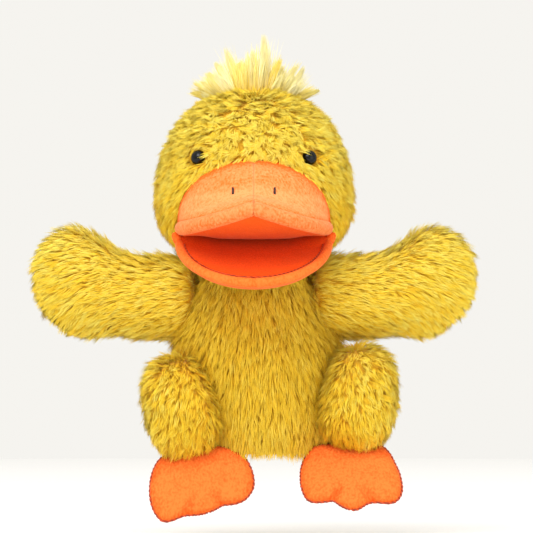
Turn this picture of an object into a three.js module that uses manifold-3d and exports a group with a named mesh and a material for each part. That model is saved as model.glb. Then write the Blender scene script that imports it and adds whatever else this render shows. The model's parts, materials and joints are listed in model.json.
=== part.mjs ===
// Duck hand puppet with a moving mouth: plush sleeve body, stuffed head, bill, wings, legs and feet.
// Millimetres, +Z up, the bill points along -Y. The origin is the centre of the hand opening at the hem.
import * as THREE from 'three';
import { mergeVertices } from 'three/addons/utils/BufferGeometryUtils.js';
import Module from 'manifold-3d';

const wasm = await Module();
wasm.setup();

// ---------------------------------------------------------------- driving dimensions
const GAP = 0.3; // between pieces that touch
const FAR = 400; // reach of a cutting block

const HEAD = {
  x: -10, y: 0, z: 172, halfWidth: 65, halfDepth: 57, rise: 73, drop: 44, wall: 5, fullness: 2.2,
};
const NECK = { x: HEAD.x, y: 4, z: 134, radius: 39.5, wall: 2.5, bottom: 112, top: 148, play: 1.5 };
const SLEEVE = { hem: 4.3, top: 111, wall: 5, lining: 1.2, seamY: 2, around: 22, rows: 6, past: 12 };
const HEM = { height: 4, inset: 7 };
const MOUTH = { hingeY: -40, hingeZ: 146.8, upperTilt: 12.5, lowerTilt: 25.5 };
const BILL = {
  halfWidth: 50, reach: 64, skin: 2.5, lipClear: 5, // the lip end
  archHalf: 52, archBase: 153, archRise: 46.5, archRound: 0.75, proud: 1.6, // the end on the face
  corner: 0.17, seam: 0.006, top: 0.02, // turns left clear at the corners and the seam, and share at the top
};
const BILL_FILL = { corner: 0.24, behind: 0.15, clear: 7 * GAP, slope: 5 };
const UPPER_LIP = { radius: 3.6, edge: 158, peak: 13, drop: 4.5 };
const LOWER_LIP = { radius: 3, reach: 61, start: 3, height: -2.5 };
const LIP_ROLL = { end: 0.02, points: 24, steps: 20, sides: 8 };
const JAW = { middle: 18, reach: 44, halfWidth: 48, level: -3, shallow: 3, deep: 30, slope: 0.43, lean: 0.9 };
const JAW_REAR = { wide: 140, long: 60, slope: 0.45, above: 8, down: 68 };
const NOSTRIL = { turn: 0.27, from: 0.64, to: 0.76, radius: 0.7, proud: 0.9 };
const BOARD = { halfWidth: 42, thickness: 1.5, upperReach: 55, lowerReach: 53, start: 3 };
const LINING = { thickness: 1, margin: 2 };
const FINGERS = { rear: 2, front: 44, rearHalf: 33, frontHalf: 24, roof: 4.6, rearDeep: 15, frontDeep: 9 };
const THUMB = { rear: 8, front: 38, rearHalf: 16, frontHalf: 13, roof: -4.8, rearDeep: 16, frontDeep: 7 };
const POUCH = { wall: 1, rear: -10, past: -12 };
const EYE = {
  x: 38, z: 201.5, radius: 5, rim: 0.6, dome: 3.4, post: 1.6, postLength: 11,
  washer: 6.5, washerThick: 1.2, washerBehind: 2,
};
const WING = {
  out: 72, z: 107, y: 3, middle: 27.5, half: 49.5, slim: 29, full: 41, depth: 23, swell: 2, round: 0.75,
  wall: 4, hole: 11, holeFrom: 24, swellFrom: 15, swellTo: 52, liftTo: 72, lift: 15,
};
const LEG = {
  y: -23, halfWidth: 24, halfDepth: 26, wall: 4, bodyGap: 2.5, fullness: 2.3, top: 0.82, taper: 0.9,
};
const LEGS = [
  { side: 'left', x: -59, z: 33.5, half: 33, lean: 16 },
  { side: 'right', x: 61, z: 39.5, half: 34, lean: -9 },
];
const FOOT = {
  half: 8, wall: 2.5, middle: -14, edge: 0.55, crown: 0.9, mouthHalf: 12, mouthDeep: 3, mouthLow: -6,
};
const FEET = [
  { side: 'left', x: -44, y: -33, z: -10, tilt: 24, roll: 12 },
  { side: 'right', x: 53, y: -34, z: -6, tilt: 38, roll: 4 },
];
const CREST = { z: 246, spread: 38, depth: 13, height: 39, sunk: 8, waist: 0.62, flare: 1.35, tip: 0.75 };
const FACE_CUT = { half: 62, low: 100, below: 6, points: 24, long: 120, clear: 1 };
const CHANNEL = { half: 37, front: -60, low: 2, high: 24 };
const HEAD_SEAM_Y = 8;

const COLOURS = {
  fur: 0xf0c62a,
  orange: 0xff8a3c,
  lining: 0xee5416,
  black: 0x0a0a0c,
  thread: 0x5a2a12,
  cream: 0xfff0a8,
  wadding: 0xf4f3ee,
  board: 0xd9d4c6,
  cloth: 0xf2d24a,
};

// ---------------------------------------------------------------- solids and geometry
const rad = THREE.MathUtils.degToRad;
const lerp = THREE.MathUtils.lerp;
const clamp = THREE.MathUtils.clamp;

function triangleIndices(geometry) {
  const index = geometry.index.array;
  const kept = [];
  for (let i = 0; i < index.length; i += 3) {
    const [a, b, c] = [index[i], index[i + 1], index[i + 2]];
    if (a !== b && b !== c && c !== a) kept.push(a, b, c);
  }
  return kept;
}

function signedVolume(position, triangles) {
  const [a, b, c] = [new THREE.Vector3(), new THREE.Vector3(), new THREE.Vector3()];
  let volume = 0;
  for (let i = 0; i < triangles.length; i += 3) {
    a.fromArray(position, 3 * triangles[i]);
    b.fromArray(position, 3 * triangles[i + 1]);
    c.fromArray(position, 3 * triangles[i + 2]);
    volume += a.dot(b.cross(c)) / 6;
  }
  return volume;
}

// A closed three.js geometry as a solid that can be cut and joined.
function solid(geometry) {
  geometry.deleteAttribute('normal');
  geometry.deleteAttribute('uv');
  const merged = mergeVertices(geometry, 1e-3);
  const position = new Float32Array(merged.attributes.position.array);
  const triangles = triangleIndices(merged);
  if (signedVolume(position, triangles) < 0) triangles.reverse();
  const mesh = new wasm.Mesh({ numProp: 3, vertProperties: position, triVerts: new Uint32Array(triangles) });
  return new wasm.Manifold(mesh);
}

// The main body of a cut solid, without loose slivers.
function mainBody(shape) {
  return shape.decompose().reduce((best, one) => (one.volume() > best.volume() ? one : best));
}

function geometryOf(shape) {
  const mesh = shape.getMesh();
  const geometry = new THREE.BufferGeometry();
  geometry.setAttribute('position', new THREE.BufferAttribute(new Float32Array(mesh.vertProperties), 3));
  geometry.setIndex(new THREE.BufferAttribute(new Uint32Array(mesh.triVerts), 1));
  geometry.computeVertexNormals();
  return geometry;
}

function movePoints(geometry, move) {
  const position = geometry.attributes.position;
  const point = new THREE.Vector3();
  for (let i = 0; i < position.count; i += 1) {
    point.fromBufferAttribute(position, i);
    move(point);
    position.setXYZ(i, point.x, point.y, point.z);
  }
  return geometry;
}

// A ball whose poles lie on Z, each point then moved to its place.
function ball(around, along, move) {
  const geometry = new THREE.SphereGeometry(1, around, along).rotateX(Math.PI / 2);
  return solid(movePoints(geometry, move));
}

// A block with u, v and w from 0 to 1, each point then moved to its place.
function block(uSteps, vSteps, place) {
  const geometry = new THREE.BoxGeometry(1, 1, 1, uSteps, vSteps, 1);
  return solid(movePoints(geometry, (p) => p.copy(place(p.x + 0.5, p.y + 0.5, p.z + 0.5))));
}

function box(x0, x1, y0, y1, z0, z1) {
  const geometry = new THREE.BoxGeometry(x1 - x0, y1 - y0, z1 - z0);
  geometry.translate((x0 + x1) / 2, (y0 + y1) / 2, (z0 + z1) / 2);
  return solid(geometry);
}

function sphere(centre, radius, around = 20, along = 12) {
  return ball(around, along, (p) => p.multiplyScalar(radius).add(centre));
}

function tube(points, radius, steps, sides) {
  const outline = new THREE.Shape().absarc(0, 0, radius, 0, 2 * Math.PI);
  const path = new THREE.CatmullRomCurve3(points);
  const section = outline.getSpacedPoints(sides).slice(0, sides);
  const options = { steps, bevelEnabled: false, extrudePath: path };
  return solid(new THREE.ExtrudeGeometry(new THREE.Shape(section), options));
}

// Smooth value at x through a list of [x, value] pairs.
function through(pairs, x) {
  const last = pairs.length - 1;
  if (x <= pairs[0][0]) return pairs[0][1];
  if (x >= pairs[last][0]) return pairs[last][1];
  const i = pairs.findIndex((pair) => pair[0] > x) - 1;
  const t = (x - pairs[i][0]) / (pairs[i + 1][0] - pairs[i][0]);
  return lerp(pairs[i][1], pairs[i + 1][1], t * t * (3 - 2 * t));
}

// ---------------------------------------------------------------- where things are
// The sleeve leans: its hem is under the origin and its neck is under the head.
const sleeveX = (z) => through([[0, 0], [NECK.bottom, HEAD.x]], z);
const sleeveY = (z) => through([[0, 0], [NECK.bottom, NECK.y]], z);
const halfWidthAt = (z) => through([[0, 43], [28, 50], [55, 57], [74, 58], [95, 51], [111, 45]], z);
const halfDepthAt = (z) => through([[0, 39], [28, 43], [55, 44], [74, 43], [95, 41], [111, 40]], z);

const headCentre = new THREE.Vector3(HEAD.x, HEAD.y, HEAD.z);
const neckCentre = new THREE.Vector3(NECK.x, NECK.y, NECK.z);

function headForm(inset, around = 20, along = 14) {
  return ball(around, along, (p) => {
    const n = HEAD.fullness;
    const sum = Math.abs(p.x) ** n + Math.abs(p.y) ** n + Math.abs(p.z) ** n;
    const rise = p.z > 0 ? HEAD.rise : HEAD.drop;
    p.multiplyScalar(sum ** (-1 / n));
    p.set(p.x * (HEAD.halfWidth - inset), p.y * (HEAD.halfDepth - inset), p.z * (rise - inset));
    p.add(headCentre);
  });
}

// Front of the head at a place given from its middle line.
function faceY(x, z) {
  const rise = z > HEAD.z ? HEAD.rise : HEAD.drop;
  const n = HEAD.fullness;
  const used = Math.abs(x / HEAD.halfWidth) ** n + Math.abs((z - HEAD.z) / rise) ** n;
  return HEAD.y - HEAD.halfDepth * Math.max(0, 1 - used) ** (1 / n);
}

// Mouth frames: x across, s forward from the hinge, h up from the mouth plane.
function mouthPoint(tilt, x, s, h) {
  const [c, k] = [Math.cos(rad(tilt)), Math.sin(rad(tilt))];
  return new THREE.Vector3(HEAD.x + x, MOUTH.hingeY - s * c + h * k, MOUTH.hingeZ + s * k + h * c);
}
const upperPoint = (x, s, h) => mouthPoint(MOUTH.upperTilt, x, s, h);
const lowerPoint = (x, s, h) => mouthPoint(-MOUTH.lowerTilt, x, s, h);

// ---------------------------------------------------------------- sleeve
// A ring wall round the sleeve between two distances from its skin and two heights.
function sleeveRing(outer, inner, low, high, rows) {
  const profile = [];
  for (let i = 0; i <= rows; i += 1) profile.push(new THREE.Vector2(FAR + outer, lerp(low, high, i / rows)));
  for (let i = rows; i >= 0; i -= 1) profile.push(new THREE.Vector2(FAR + inner, lerp(low, high, i / rows)));
  profile.push(profile[0].clone());
  const geometry = new THREE.LatheGeometry(profile, SLEEVE.around).rotateX(Math.PI / 2);
  return solid(movePoints(geometry, (p) => {
    const radius = Math.hypot(p.x, p.y);
    const offset = radius - FAR;
    p.x = sleeveX(p.z) + (p.x / radius) * (halfWidthAt(p.z) + offset);
    p.y = sleeveY(p.z) + (p.y / radius) * (halfDepthAt(p.z) + offset);
  }));
}

function sleeveCore(offset) {
  const tall = SLEEVE.top + SLEEVE.past;
  const geometry = new THREE.CylinderGeometry(1, 1, tall, SLEEVE.around, 8).rotateX(Math.PI / 2);
  geometry.translate(0, 0, (SLEEVE.top - SLEEVE.past) / 2);
  return solid(movePoints(geometry, (p) => {
    p.x = sleeveX(p.z) + p.x * (halfWidthAt(p.z) + offset);
    p.y = sleeveY(p.z) + p.y * (halfDepthAt(p.z) + offset);
  }));
}

function sleeveNodes() {
  const ring = (outer, inner) => sleeveRing(outer, inner, SLEEVE.hem, SLEEVE.top, SLEEVE.rows);
  const wall = ring(0, -SLEEVE.wall);
  const half = GAP / 2;
  const lineOut = -SLEEVE.wall - GAP;
  return {
    body_front_panel: [wall.subtract(box(-FAR, FAR, SLEEVE.seamY - half, FAR, -FAR, FAR)), 'fur'],
    body_back_panel: [wall.subtract(box(-FAR, FAR, -FAR, SLEEVE.seamY + half, -FAR, FAR)), 'fur'],
    sleeve_lining: [ring(lineOut, lineOut - SLEEVE.lining), 'cloth'],
    hem_binding: [sleeveRing(0, -HEM.inset, 0, HEM.height, 1), 'cloth'],
  };
}

// ---------------------------------------------------------------- neck
function neckNodes() {
  const rows = 4;
  const radiusAt = (z, wall) => Math.sqrt(NECK.radius ** 2 - (z - NECK.z) ** 2) - wall;
  const profile = [];
  for (let i = 0; i <= rows; i += 1) {
    const z = lerp(NECK.bottom, NECK.top, i / rows);
    profile.push(new THREE.Vector2(radiusAt(z, 0), z));
  }
  for (let i = rows; i >= 0; i -= 1) {
    const z = lerp(NECK.bottom, NECK.top, i / rows);
    profile.push(new THREE.Vector2(radiusAt(z, NECK.wall), z));
  }
  profile.push(profile[0].clone());
  const geometry = new THREE.LatheGeometry(profile, 20).rotateX(Math.PI / 2);
  geometry.translate(NECK.x, NECK.y, 0);
  return { neck_panel: [solid(geometry), 'fur'] };
}

// ---------------------------------------------------------------- bill
function archPoint(turn) {
  const x = -BILL.archHalf * Math.cos(turn);
  const z = BILL.archBase + BILL.archRise * Math.sin(turn) ** BILL.archRound;
  return new THREE.Vector3(HEAD.x + x, faceY(x, z) - BILL.proud, z);
}

function lipEdge(turn) {
  const z = UPPER_LIP.edge + UPPER_LIP.peak * Math.sin(turn) ** 6;
  const y = MOUTH.hingeY - BILL.reach * Math.sin(turn);
  return new THREE.Vector3(HEAD.x - BILL.halfWidth * Math.cos(turn), y, z);
}

function billTop(turn, t) {
  return archPoint(turn).lerp(lipEdge(turn), t);
}

// The bill's top, sunk by a distance square to it.
function billSunk(turn, t, depth) {
  const step = 0.01;
  const at = billTop(turn, t);
  const before = Math.max(turn - step, 2 * step);
  const after = Math.min(turn + step, Math.PI - 2 * step);
  const across = billTop(after, t).sub(billTop(before, t));
  const along = billTop(turn, Math.min(1, t + step)).sub(billTop(turn, Math.max(0, t - step)));
  const inward = along.cross(across).normalize();
  if (inward.z > 0) inward.negate();
  return at.addScaledVector(inward, depth);
}

function lipPath(pointAt) {
  const points = [];
  for (let i = 0; i <= LIP_ROLL.points; i += 1) {
    points.push(pointAt(lerp(LIP_ROLL.end, Math.PI - LIP_ROLL.end, i / LIP_ROLL.points)));
  }
  return points;
}

const lipRoll = (path, radius) => tube(path, radius, LIP_ROLL.steps, LIP_ROLL.sides);

const upperLipPoint = (turn) => lipEdge(turn).sub(new THREE.Vector3(0, 0, UPPER_LIP.drop));

function lowerLipPoint(turn) {
  const s = LOWER_LIP.start + LOWER_LIP.reach * Math.sin(turn);
  return lowerPoint(-BILL.halfWidth * Math.cos(turn), s, LOWER_LIP.height);
}

function dShape(halfWidth, start, reach) {
  const shape = new THREE.Shape();
  shape.moveTo(-halfWidth, start);
  shape.lineTo(halfWidth, start);
  shape.absellipse(0, start, halfWidth, reach - start, 0, Math.PI, false);
  return shape;
}

// A plate with the mouth's D outline, between two heights above the mouth plane.
function mouthPlate(point, halfWidth, reach, low, high) {
  const options = { depth: 1, bevelEnabled: false, curveSegments: 12 };
  const geometry = new THREE.ExtrudeGeometry(dShape(halfWidth, BOARD.start, reach), options);
  return solid(movePoints(geometry, (p) => p.copy(point(p.x, p.y, lerp(low, high, p.z)))));
}

// One half of the bill's skin, ending just short of the lip roll.
function billCover(from, to) {
  return block(8, 5, (u, v, w) => {
    const turn = lerp(from, to, u);
    const end = 1 - BILL.lipClear / archPoint(turn).distanceTo(lipEdge(turn));
    return billSunk(turn, lerp(BILL.top, end, v), w * BILL.skin);
  });
}

// Wadding between the bill's skin and the mouth board, open behind for the fingers.
function billWadding(keepOut, pocket) {
  const under = BOARD.thickness + LINING.thickness + 3 * GAP;
  const rear = MOUTH.hingeY - BOARD.start;
  const fill = block(14, 6, (u, v, w) => {
    const turn = lerp(BILL_FILL.corner, Math.PI - BILL_FILL.corner, u);
    const t = Math.max(0, lerp(-BILL_FILL.behind, 1, v));
    const top = billSunk(turn, t, BILL.skin + BILL_FILL.clear);
    if (v === 0) top.y = rear;
    top.y = Math.min(top.y, rear - BILL_FILL.slope * v);
    const floorZ = MOUTH.hingeZ + (MOUTH.hingeY - top.y) * Math.tan(rad(MOUTH.upperTilt)) + under;
    return new THREE.Vector3(top.x, top.y, lerp(Math.min(floorZ, top.z - 1), top.z, w));
  });
  return fill.subtract(keepOut).subtract(pocket);
}

// A flat cloth pouch lying along a mouth plate, narrower and lower towards its front.
function pouch(point, form, grow, start) {
  const taper = (s) => clamp((s - form.rear) / (form.front - form.rear), 0, 1);
  return block(1, 1, (u, v, w) => {
    const s = [start, form.front + grow][v > 0.5 ? 1 : 0];
    const half = lerp(form.rearHalf, form.frontHalf, taper(s)) + grow;
    const far = form.roof + Math.sign(form.roof) * (lerp(form.rearDeep, form.frontDeep, taper(s)) + grow);
    const near = form.roof - Math.sign(form.roof) * grow;
    return point((u - 0.5) * 2 * half, s, lerp(near, far, w));
  });
}

function pouchCloth(point, form) {
  return pouch(point, form, POUCH.wall, POUCH.rear).subtract(pouch(point, form, 0, POUCH.past));
}

function upperBillNodes() {
  const path = lipPath(upperLipPoint);
  const lipCore = lipRoll(path, UPPER_LIP.radius + 3 * GAP);
  const lip = lipRoll(path, UPPER_LIP.radius);
  const middle = Math.PI / 2;
  const behind = box(-FAR, FAR, MOUTH.hingeY - POUCH.wall - GAP, FAR, -FAR, FAR);
  const boardLow = LINING.thickness + 2 * GAP;
  return {
    upper_bill_cover_left: [billCover(BILL.corner, middle - BILL.seam), 'orange'],
    upper_bill_cover_right: [billCover(middle + BILL.seam, Math.PI - BILL.corner), 'orange'],
    upper_lip_left: [lip.subtract(box(HEAD.x - GAP / 2, FAR, -FAR, FAR, -FAR, FAR)), 'orange'],
    upper_lip_right: [lip.subtract(box(-FAR, HEAD.x + GAP / 2, -FAR, FAR, -FAR, FAR)), 'orange'],
    upper_bill_wadding: [
      billWadding(lipCore, pouch(upperPoint, FINGERS, POUCH.wall + GAP, POUCH.past)), 'wadding'],
    upper_mouth_board: [
      mouthPlate(upperPoint, BOARD.halfWidth, BOARD.upperReach, boardLow, boardLow + BOARD.thickness), 'board'],
    palate_lining: [
      mouthPlate(upperPoint, BOARD.halfWidth + 1, BOARD.upperReach + LINING.margin, GAP, GAP + LINING.thickness),
      'lining'],
    finger_pocket: [pouchCloth(upperPoint, FINGERS).subtract(behind), 'cloth'],
  };
}

// ---------------------------------------------------------------- lower jaw
// The underside stays level while the mouth plane slopes down to the lip.
function jawForm(inset) {
  return ball(18, 10, (p) => {
    const s = JAW.middle + (JAW.reach - inset) * p.y;
    const deep = Math.max(JAW.shallow, (JAW.deep - JAW.slope * s) / JAW.lean) - inset;
    p.copy(lowerPoint((JAW.halfWidth - inset) * p.x, s, JAW.level + deep * p.z));
  });
}

// The jaw stops short of the neck at a face that leans forward towards its foot.
function jawRearCut() {
  const { wide, long, slope, above, down } = JAW_REAR;
  return block(1, 1, (u, v, w) => {
    const y = MOUTH.hingeY + long * (w - slope * v);
    return new THREE.Vector3(HEAD.x + (u - 0.5) * wide, y, MOUTH.hingeZ + above - down * v);
  });
}

function jawNodes() {
  const path = lipPath(lowerLipPoint);
  const lipCore = lipRoll(path, LOWER_LIP.radius + 3 * GAP);
  const rear = jawRearCut();
  const low = -LINING.thickness - 2 * GAP;
  const underBoard = low - BOARD.thickness - GAP;
  const roof = block(1, 1, (u, v, w) => lowerPoint((u - 0.5) * FAR, (v - 0.5) * FAR, underBoard + w * FAR));
  const cover = jawForm(0).subtract(jawForm(BILL.skin)).subtract(roof).subtract(lipCore).subtract(rear);
  const wadding = jawForm(BILL.skin + GAP).subtract(roof).subtract(lipCore).subtract(rear)
    .subtract(pouch(lowerPoint, THUMB, POUCH.wall + GAP, POUCH.past));
  return {
    lower_bill_cover: [cover, 'orange'],
    lower_lip: [lipRoll(path, LOWER_LIP.radius), 'orange'],
    lower_bill_wadding: [wadding, 'wadding'],
    lower_mouth_board: [
      mouthPlate(lowerPoint, BOARD.halfWidth, BOARD.lowerReach, low - BOARD.thickness, low), 'board'],
    mouth_floor_lining: [
      mouthPlate(lowerPoint, BOARD.halfWidth + 1, BOARD.lowerReach + LINING.margin, -GAP - LINING.thickness, -GAP),
      'lining'],
    thumb_pocket: [pouchCloth(lowerPoint, THUMB).subtract(rear), 'cloth'],
  };
}

// ---------------------------------------------------------------- head
function eyeFrame(side) {
  const x = side * EYE.x;
  const at = new THREE.Vector3(HEAD.x + x, faceY(x, EYE.z), EYE.z);
  const n = at.clone().sub(headCentre);
  n.set(n.x / HEAD.halfWidth ** 2, n.y / HEAD.halfDepth ** 2, n.z / HEAD.rise ** 2).normalize();
  const turn = new THREE.Quaternion().setFromUnitVectors(new THREE.Vector3(0, 0, 1), n);
  return new THREE.Matrix4().compose(at, turn, new THREE.Vector3(1, 1, 1));
}

function turned(points, frame, around = 12) {
  const geometry = new THREE.LatheGeometry(points, around).rotateX(Math.PI / 2);
  return solid(geometry.applyMatrix4(frame));
}

const pair = (radius, height) => new THREE.Vector2(radius, height);

// A safety eye: a dome on a post, with its washer pushed on behind the cloth.
function eye(frame) {
  const profile = [pair(0, -EYE.postLength), pair(EYE.post, -EYE.postLength), pair(EYE.post, GAP)];
  for (let i = 0; i <= 4; i += 1) {
    const a = (i / 4) * (Math.PI / 2);
    profile.push(pair(EYE.radius * Math.cos(a), GAP + EYE.rim + EYE.dome * Math.sin(a)));
  }
  profile.splice(3, 0, pair(EYE.radius, GAP));
  return turned(profile, frame);
}

function washer(frame) {
  const top = -HEAD.wall - EYE.washerBehind;
  const bore = EYE.post + GAP;
  const low = top - EYE.washerThick;
  const profile = [pair(bore, low), pair(EYE.washer, low), pair(EYE.washer, top), pair(bore, top), pair(bore, low)];
  return turned(profile, frame);
}

function post(frame, radius, low, high) {
  return turned([pair(0, low), pair(radius, low), pair(radius, high), pair(0, high)], frame);
}

// The part of the face that the bill takes, from the chin to the arch.
function billSpace() {
  const { half, low, below, points, long, clear } = FACE_CUT;
  const shape = new THREE.Shape();
  shape.moveTo(HEAD.x + half, low);
  shape.lineTo(HEAD.x + half, BILL.archBase - below);
  for (let i = 0; i <= points; i += 1) {
    const turn = Math.PI * (1 - i / points);
    const x = -(BILL.archHalf + clear) * Math.cos(turn);
    shape.lineTo(HEAD.x + x, BILL.archBase + (BILL.archRise + clear) * Math.sin(turn) ** BILL.archRound);
  }
  shape.lineTo(HEAD.x - half, BILL.archBase - below);
  shape.lineTo(HEAD.x - half, low);
  const geometry = new THREE.ExtrudeGeometry(shape, { depth: long, bevelEnabled: false });
  geometry.rotateX(Math.PI / 2);
  geometry.translate(0, MOUTH.hingeY + BILL.proud, 0);
  return solid(geometry);
}

function crest() {
  const tuft = ball(16, 8, (p) => {
    const up = (p.z + 1) / 2;
    const open = Math.sin((Math.PI / 2) * Math.min(1, up * CREST.flare));
    p.x *= CREST.spread * lerp(CREST.waist, 1, open) * lerp(1, CREST.tip, up);
    p.y *= CREST.depth;
    p.z = CREST.z - CREST.sunk + up * (CREST.height + CREST.sunk);
    p.x += HEAD.x;
  });
  return tuft.subtract(headForm(-GAP));
}

function headNodes() {
  const half = GAP / 2;
  const cavity = sphere(neckCentre, NECK.radius + NECK.play);
  const [low, high] = [MOUTH.hingeZ + CHANNEL.low, MOUTH.hingeZ + CHANNEL.high];
  const channel = box(HEAD.x - CHANNEL.half, HEAD.x + CHANNEL.half, CHANNEL.front, 0, low, high);
  const frames = [eyeFrame(-1), eyeFrame(1)];
  const posts = frames.map((frame) => post(frame, EYE.post + GAP, -20, 8));
  const mouth = billSpace();
  let cover = headForm(0).subtract(headForm(HEAD.wall)).subtract(cavity).subtract(mouth);
  let stuffing = headForm(HEAD.wall + GAP).subtract(cavity).subtract(mouth).subtract(channel);
  for (const one of posts) {
    cover = cover.subtract(one);
    stuffing = stuffing.subtract(one);
  }
  for (const frame of frames) stuffing = stuffing.subtract(post(frame, EYE.washer + GAP, -9, -3));
  const front = cover.subtract(box(-FAR, FAR, HEAD_SEAM_Y - half, FAR, -FAR, FAR));
  return {
    head_left_panel: [front.subtract(box(HEAD.x - half, FAR, -FAR, FAR, -FAR, FAR)), 'fur'],
    head_right_panel: [front.subtract(box(-FAR, HEAD.x + half, -FAR, FAR, -FAR, FAR)), 'fur'],
    head_back_panel: [cover.subtract(box(-FAR, FAR, -FAR, HEAD_SEAM_Y + half, -FAR, FAR)), 'fur'],
    head_stuffing: [stuffing, 'wadding'],
    crest_tuft: [crest(), 'cream'],
    eye_left: [eye(frames[0]), 'black'],
    eye_right: [eye(frames[1]), 'black'],
    eye_washer_left: [washer(frames[0]), 'board'],
    eye_washer_right: [washer(frames[1]), 'board'],
    nostril_stitch_left: [nostril(-1), 'thread'],
    nostril_stitch_right: [nostril(1), 'thread'],
  };
}

// A short upright run of thick thread, laid just proud of the bill.
function nostril(side) {
  const turn = Math.PI / 2 + side * NOSTRIL.turn;
  const places = [NOSTRIL.from, (NOSTRIL.from + NOSTRIL.to) / 2, NOSTRIL.to];
  return tube(places.map((t) => billSunk(turn, t, -GAP - NOSTRIL.proud)), NOSTRIL.radius, 4, 8);
}

// ---------------------------------------------------------------- wings
function wingForm(side, inset, around = 14, along = 9) {
  return ball(around, along, (p) => {
    const t = p.z;
    const ring = Math.hypot(p.x, p.y) || 1;
    const full = Math.hypot(p.x, p.y) ** WING.round;
    const out = WING.middle + (WING.half - inset) * t;
    const grown = through([[WING.swellFrom, 0], [WING.swellTo, 1]], out);
    const high = lerp(WING.slim, WING.full, grown) - inset;
    const deep = WING.depth + WING.swell * grown - inset;
    const lift = through([[0, 0], [WING.liftTo, WING.lift]], out);
    const place = new THREE.Vector3(
      HEAD.x + side * (WING.out + out),
      WING.y + (p.x / ring) * full * deep,
      WING.z + lift + (p.y / ring) * full * high,
    );
    p.copy(place);
  });
}

function wingNodes(side, name) {
  const root = HEAD.x + side * (WING.out - WING.holeFrom);
  const hole = new THREE.CylinderGeometry(WING.hole, WING.hole, WING.holeFrom, 16).rotateZ(Math.PI / 2);
  hole.translate(root, WING.y, WING.z);
  const cover = wingForm(side, 0).subtract(wingForm(side, WING.wall)).subtract(solid(hole));
  return {
    [`wing_${name}_cover`]: [cover, 'fur'],
    [`wing_${name}_stuffing`]: [wingForm(side, WING.wall + GAP), 'wadding'],
  };
}

// ---------------------------------------------------------------- legs and feet
function legForm(leg, inset) {
  return ball(14, 8, (p) => {
    const n = LEG.fullness;
    const sum = Math.abs(p.x) ** n + Math.abs(p.y) ** n + Math.abs(p.z) ** n;
    p.multiplyScalar(sum ** (-1 / n));
    const narrow = lerp(LEG.top, 1, clamp((1 - p.z) * LEG.taper, 0, 1));
    p.x *= (LEG.halfWidth - inset) * narrow;
    p.y *= (LEG.halfDepth - inset) * narrow;
    p.z *= leg.half - inset;
    p.applyAxisAngle(new THREE.Vector3(0, 1, 0), -rad(leg.lean));
    p.add(new THREE.Vector3(leg.x, LEG.y, leg.z));
  });
}

function legNodes(leg) {
  const body = sleeveCore(LEG.bodyGap);
  const inside = sleeveCore(LEG.bodyGap + GAP);
  return {
    [`leg_${leg.side}_cover`]: [legForm(leg, 0).subtract(legForm(leg, LEG.wall)).subtract(body), 'fur'],
    [`leg_${leg.side}_stuffing`]: [legForm(leg, LEG.wall + GAP).subtract(inside), 'wadding'],
  };
}

// Webbed foot outline, as the distance from its middle at each angle from the ankle: three round toes.
const FOOT_OUTLINE = [
  [0, 22], [35, 26], [53, 29.5], [80, 29.5], [104, 34], [124, 33.5], [140, 24], [160, 23.5], [180, 26],
];

function footForm(foot, inset) {
  return ball(26, 4, (p) => {
    const full = Math.hypot(p.x, p.y) ** FOOT.edge;
    const turn = Math.atan2(p.x, p.y);
    const radius = through(FOOT_OUTLINE, THREE.MathUtils.radToDeg(Math.abs(turn))) - inset;
    const thick = (FOOT.half - inset) * Math.sign(p.z) * Math.abs(p.z) ** FOOT.crown;
    p.set(full * radius * Math.sin(turn), thick, FOOT.middle + full * radius * Math.cos(turn));
    p.applyMatrix4(footFrame(foot));
  });
}

function footFrame(foot) {
  return new THREE.Matrix4().makeTranslation(foot.x, foot.y, foot.z)
    .multiply(new THREE.Matrix4().makeRotationY(-rad(foot.roll)))
    .multiply(new THREE.Matrix4().makeRotationX(-rad(foot.tilt)));
}

function footBlock(foot, half, low, high) {
  const geometry = new THREE.BoxGeometry(2 * half, high[0] - low[0], high[1] - low[1]);
  geometry.translate(0, (low[0] + high[0]) / 2, (low[1] + high[1]) / 2);
  return solid(geometry.applyMatrix4(footFrame(foot)));
}

function footNodes(foot) {
  const { mouthHalf, mouthDeep, mouthLow } = FOOT;
  const mouth = footBlock(foot, mouthHalf, [-mouthDeep, mouthLow], [mouthDeep, mouthHalf]);
  const cover = footForm(foot, 0).subtract(footForm(foot, FOOT.wall)).subtract(mouth);
  const half = GAP / 2;
  return {
    [`foot_${foot.side}_upper`]: [cover.subtract(footBlock(foot, FAR, [-half, -FAR], [FAR, FAR])), 'orange'],
    [`foot_${foot.side}_sole`]: [cover.subtract(footBlock(foot, FAR, [-FAR, -FAR], [half, FAR])), 'orange'],
    [`foot_${foot.side}_stuffing`]: [footForm(foot, FOOT.wall + GAP), 'wadding'],
  };
}

// ---------------------------------------------------------------- the puppet
const FINISH = {
  fur: [0.95, 0], orange: [0.85, 0], lining: [0.85, 0], black: [0.12, 0], thread: [0.7, 0],
  cream: [0.9, 0], wadding: [0.95, 0], board: [0.6, 0], cloth: [0.9, 0],
};

const puppet = new THREE.Group();
const sections = [sleeveNodes(), neckNodes(), headNodes(), upperBillNodes(), jawNodes()];
sections.push(wingNodes(-1, 'left'), wingNodes(1, 'right'));
for (const leg of LEGS) sections.push(legNodes(leg));
for (const foot of FEET) sections.push(footNodes(foot));

for (const section of sections) {
  for (const [name, [shape, slot]] of Object.entries(section)) {
    const [roughness, metalness] = FINISH[slot];
    const material = new THREE.MeshStandardMaterial({ color: COLOURS[slot], roughness, metalness });
    const mesh = new THREE.Mesh(geometryOf(mainBody(shape)), material);
    mesh.name = name;
    puppet.add(mesh);
  }
}

export default puppet;
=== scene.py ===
"""A plush duck hand puppet with a moving mouth: its pile, bill, mouth, eyes, crest and feet.

Sizes inside the functions are in millimetres, and each mesh is made in metres.
"""

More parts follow.
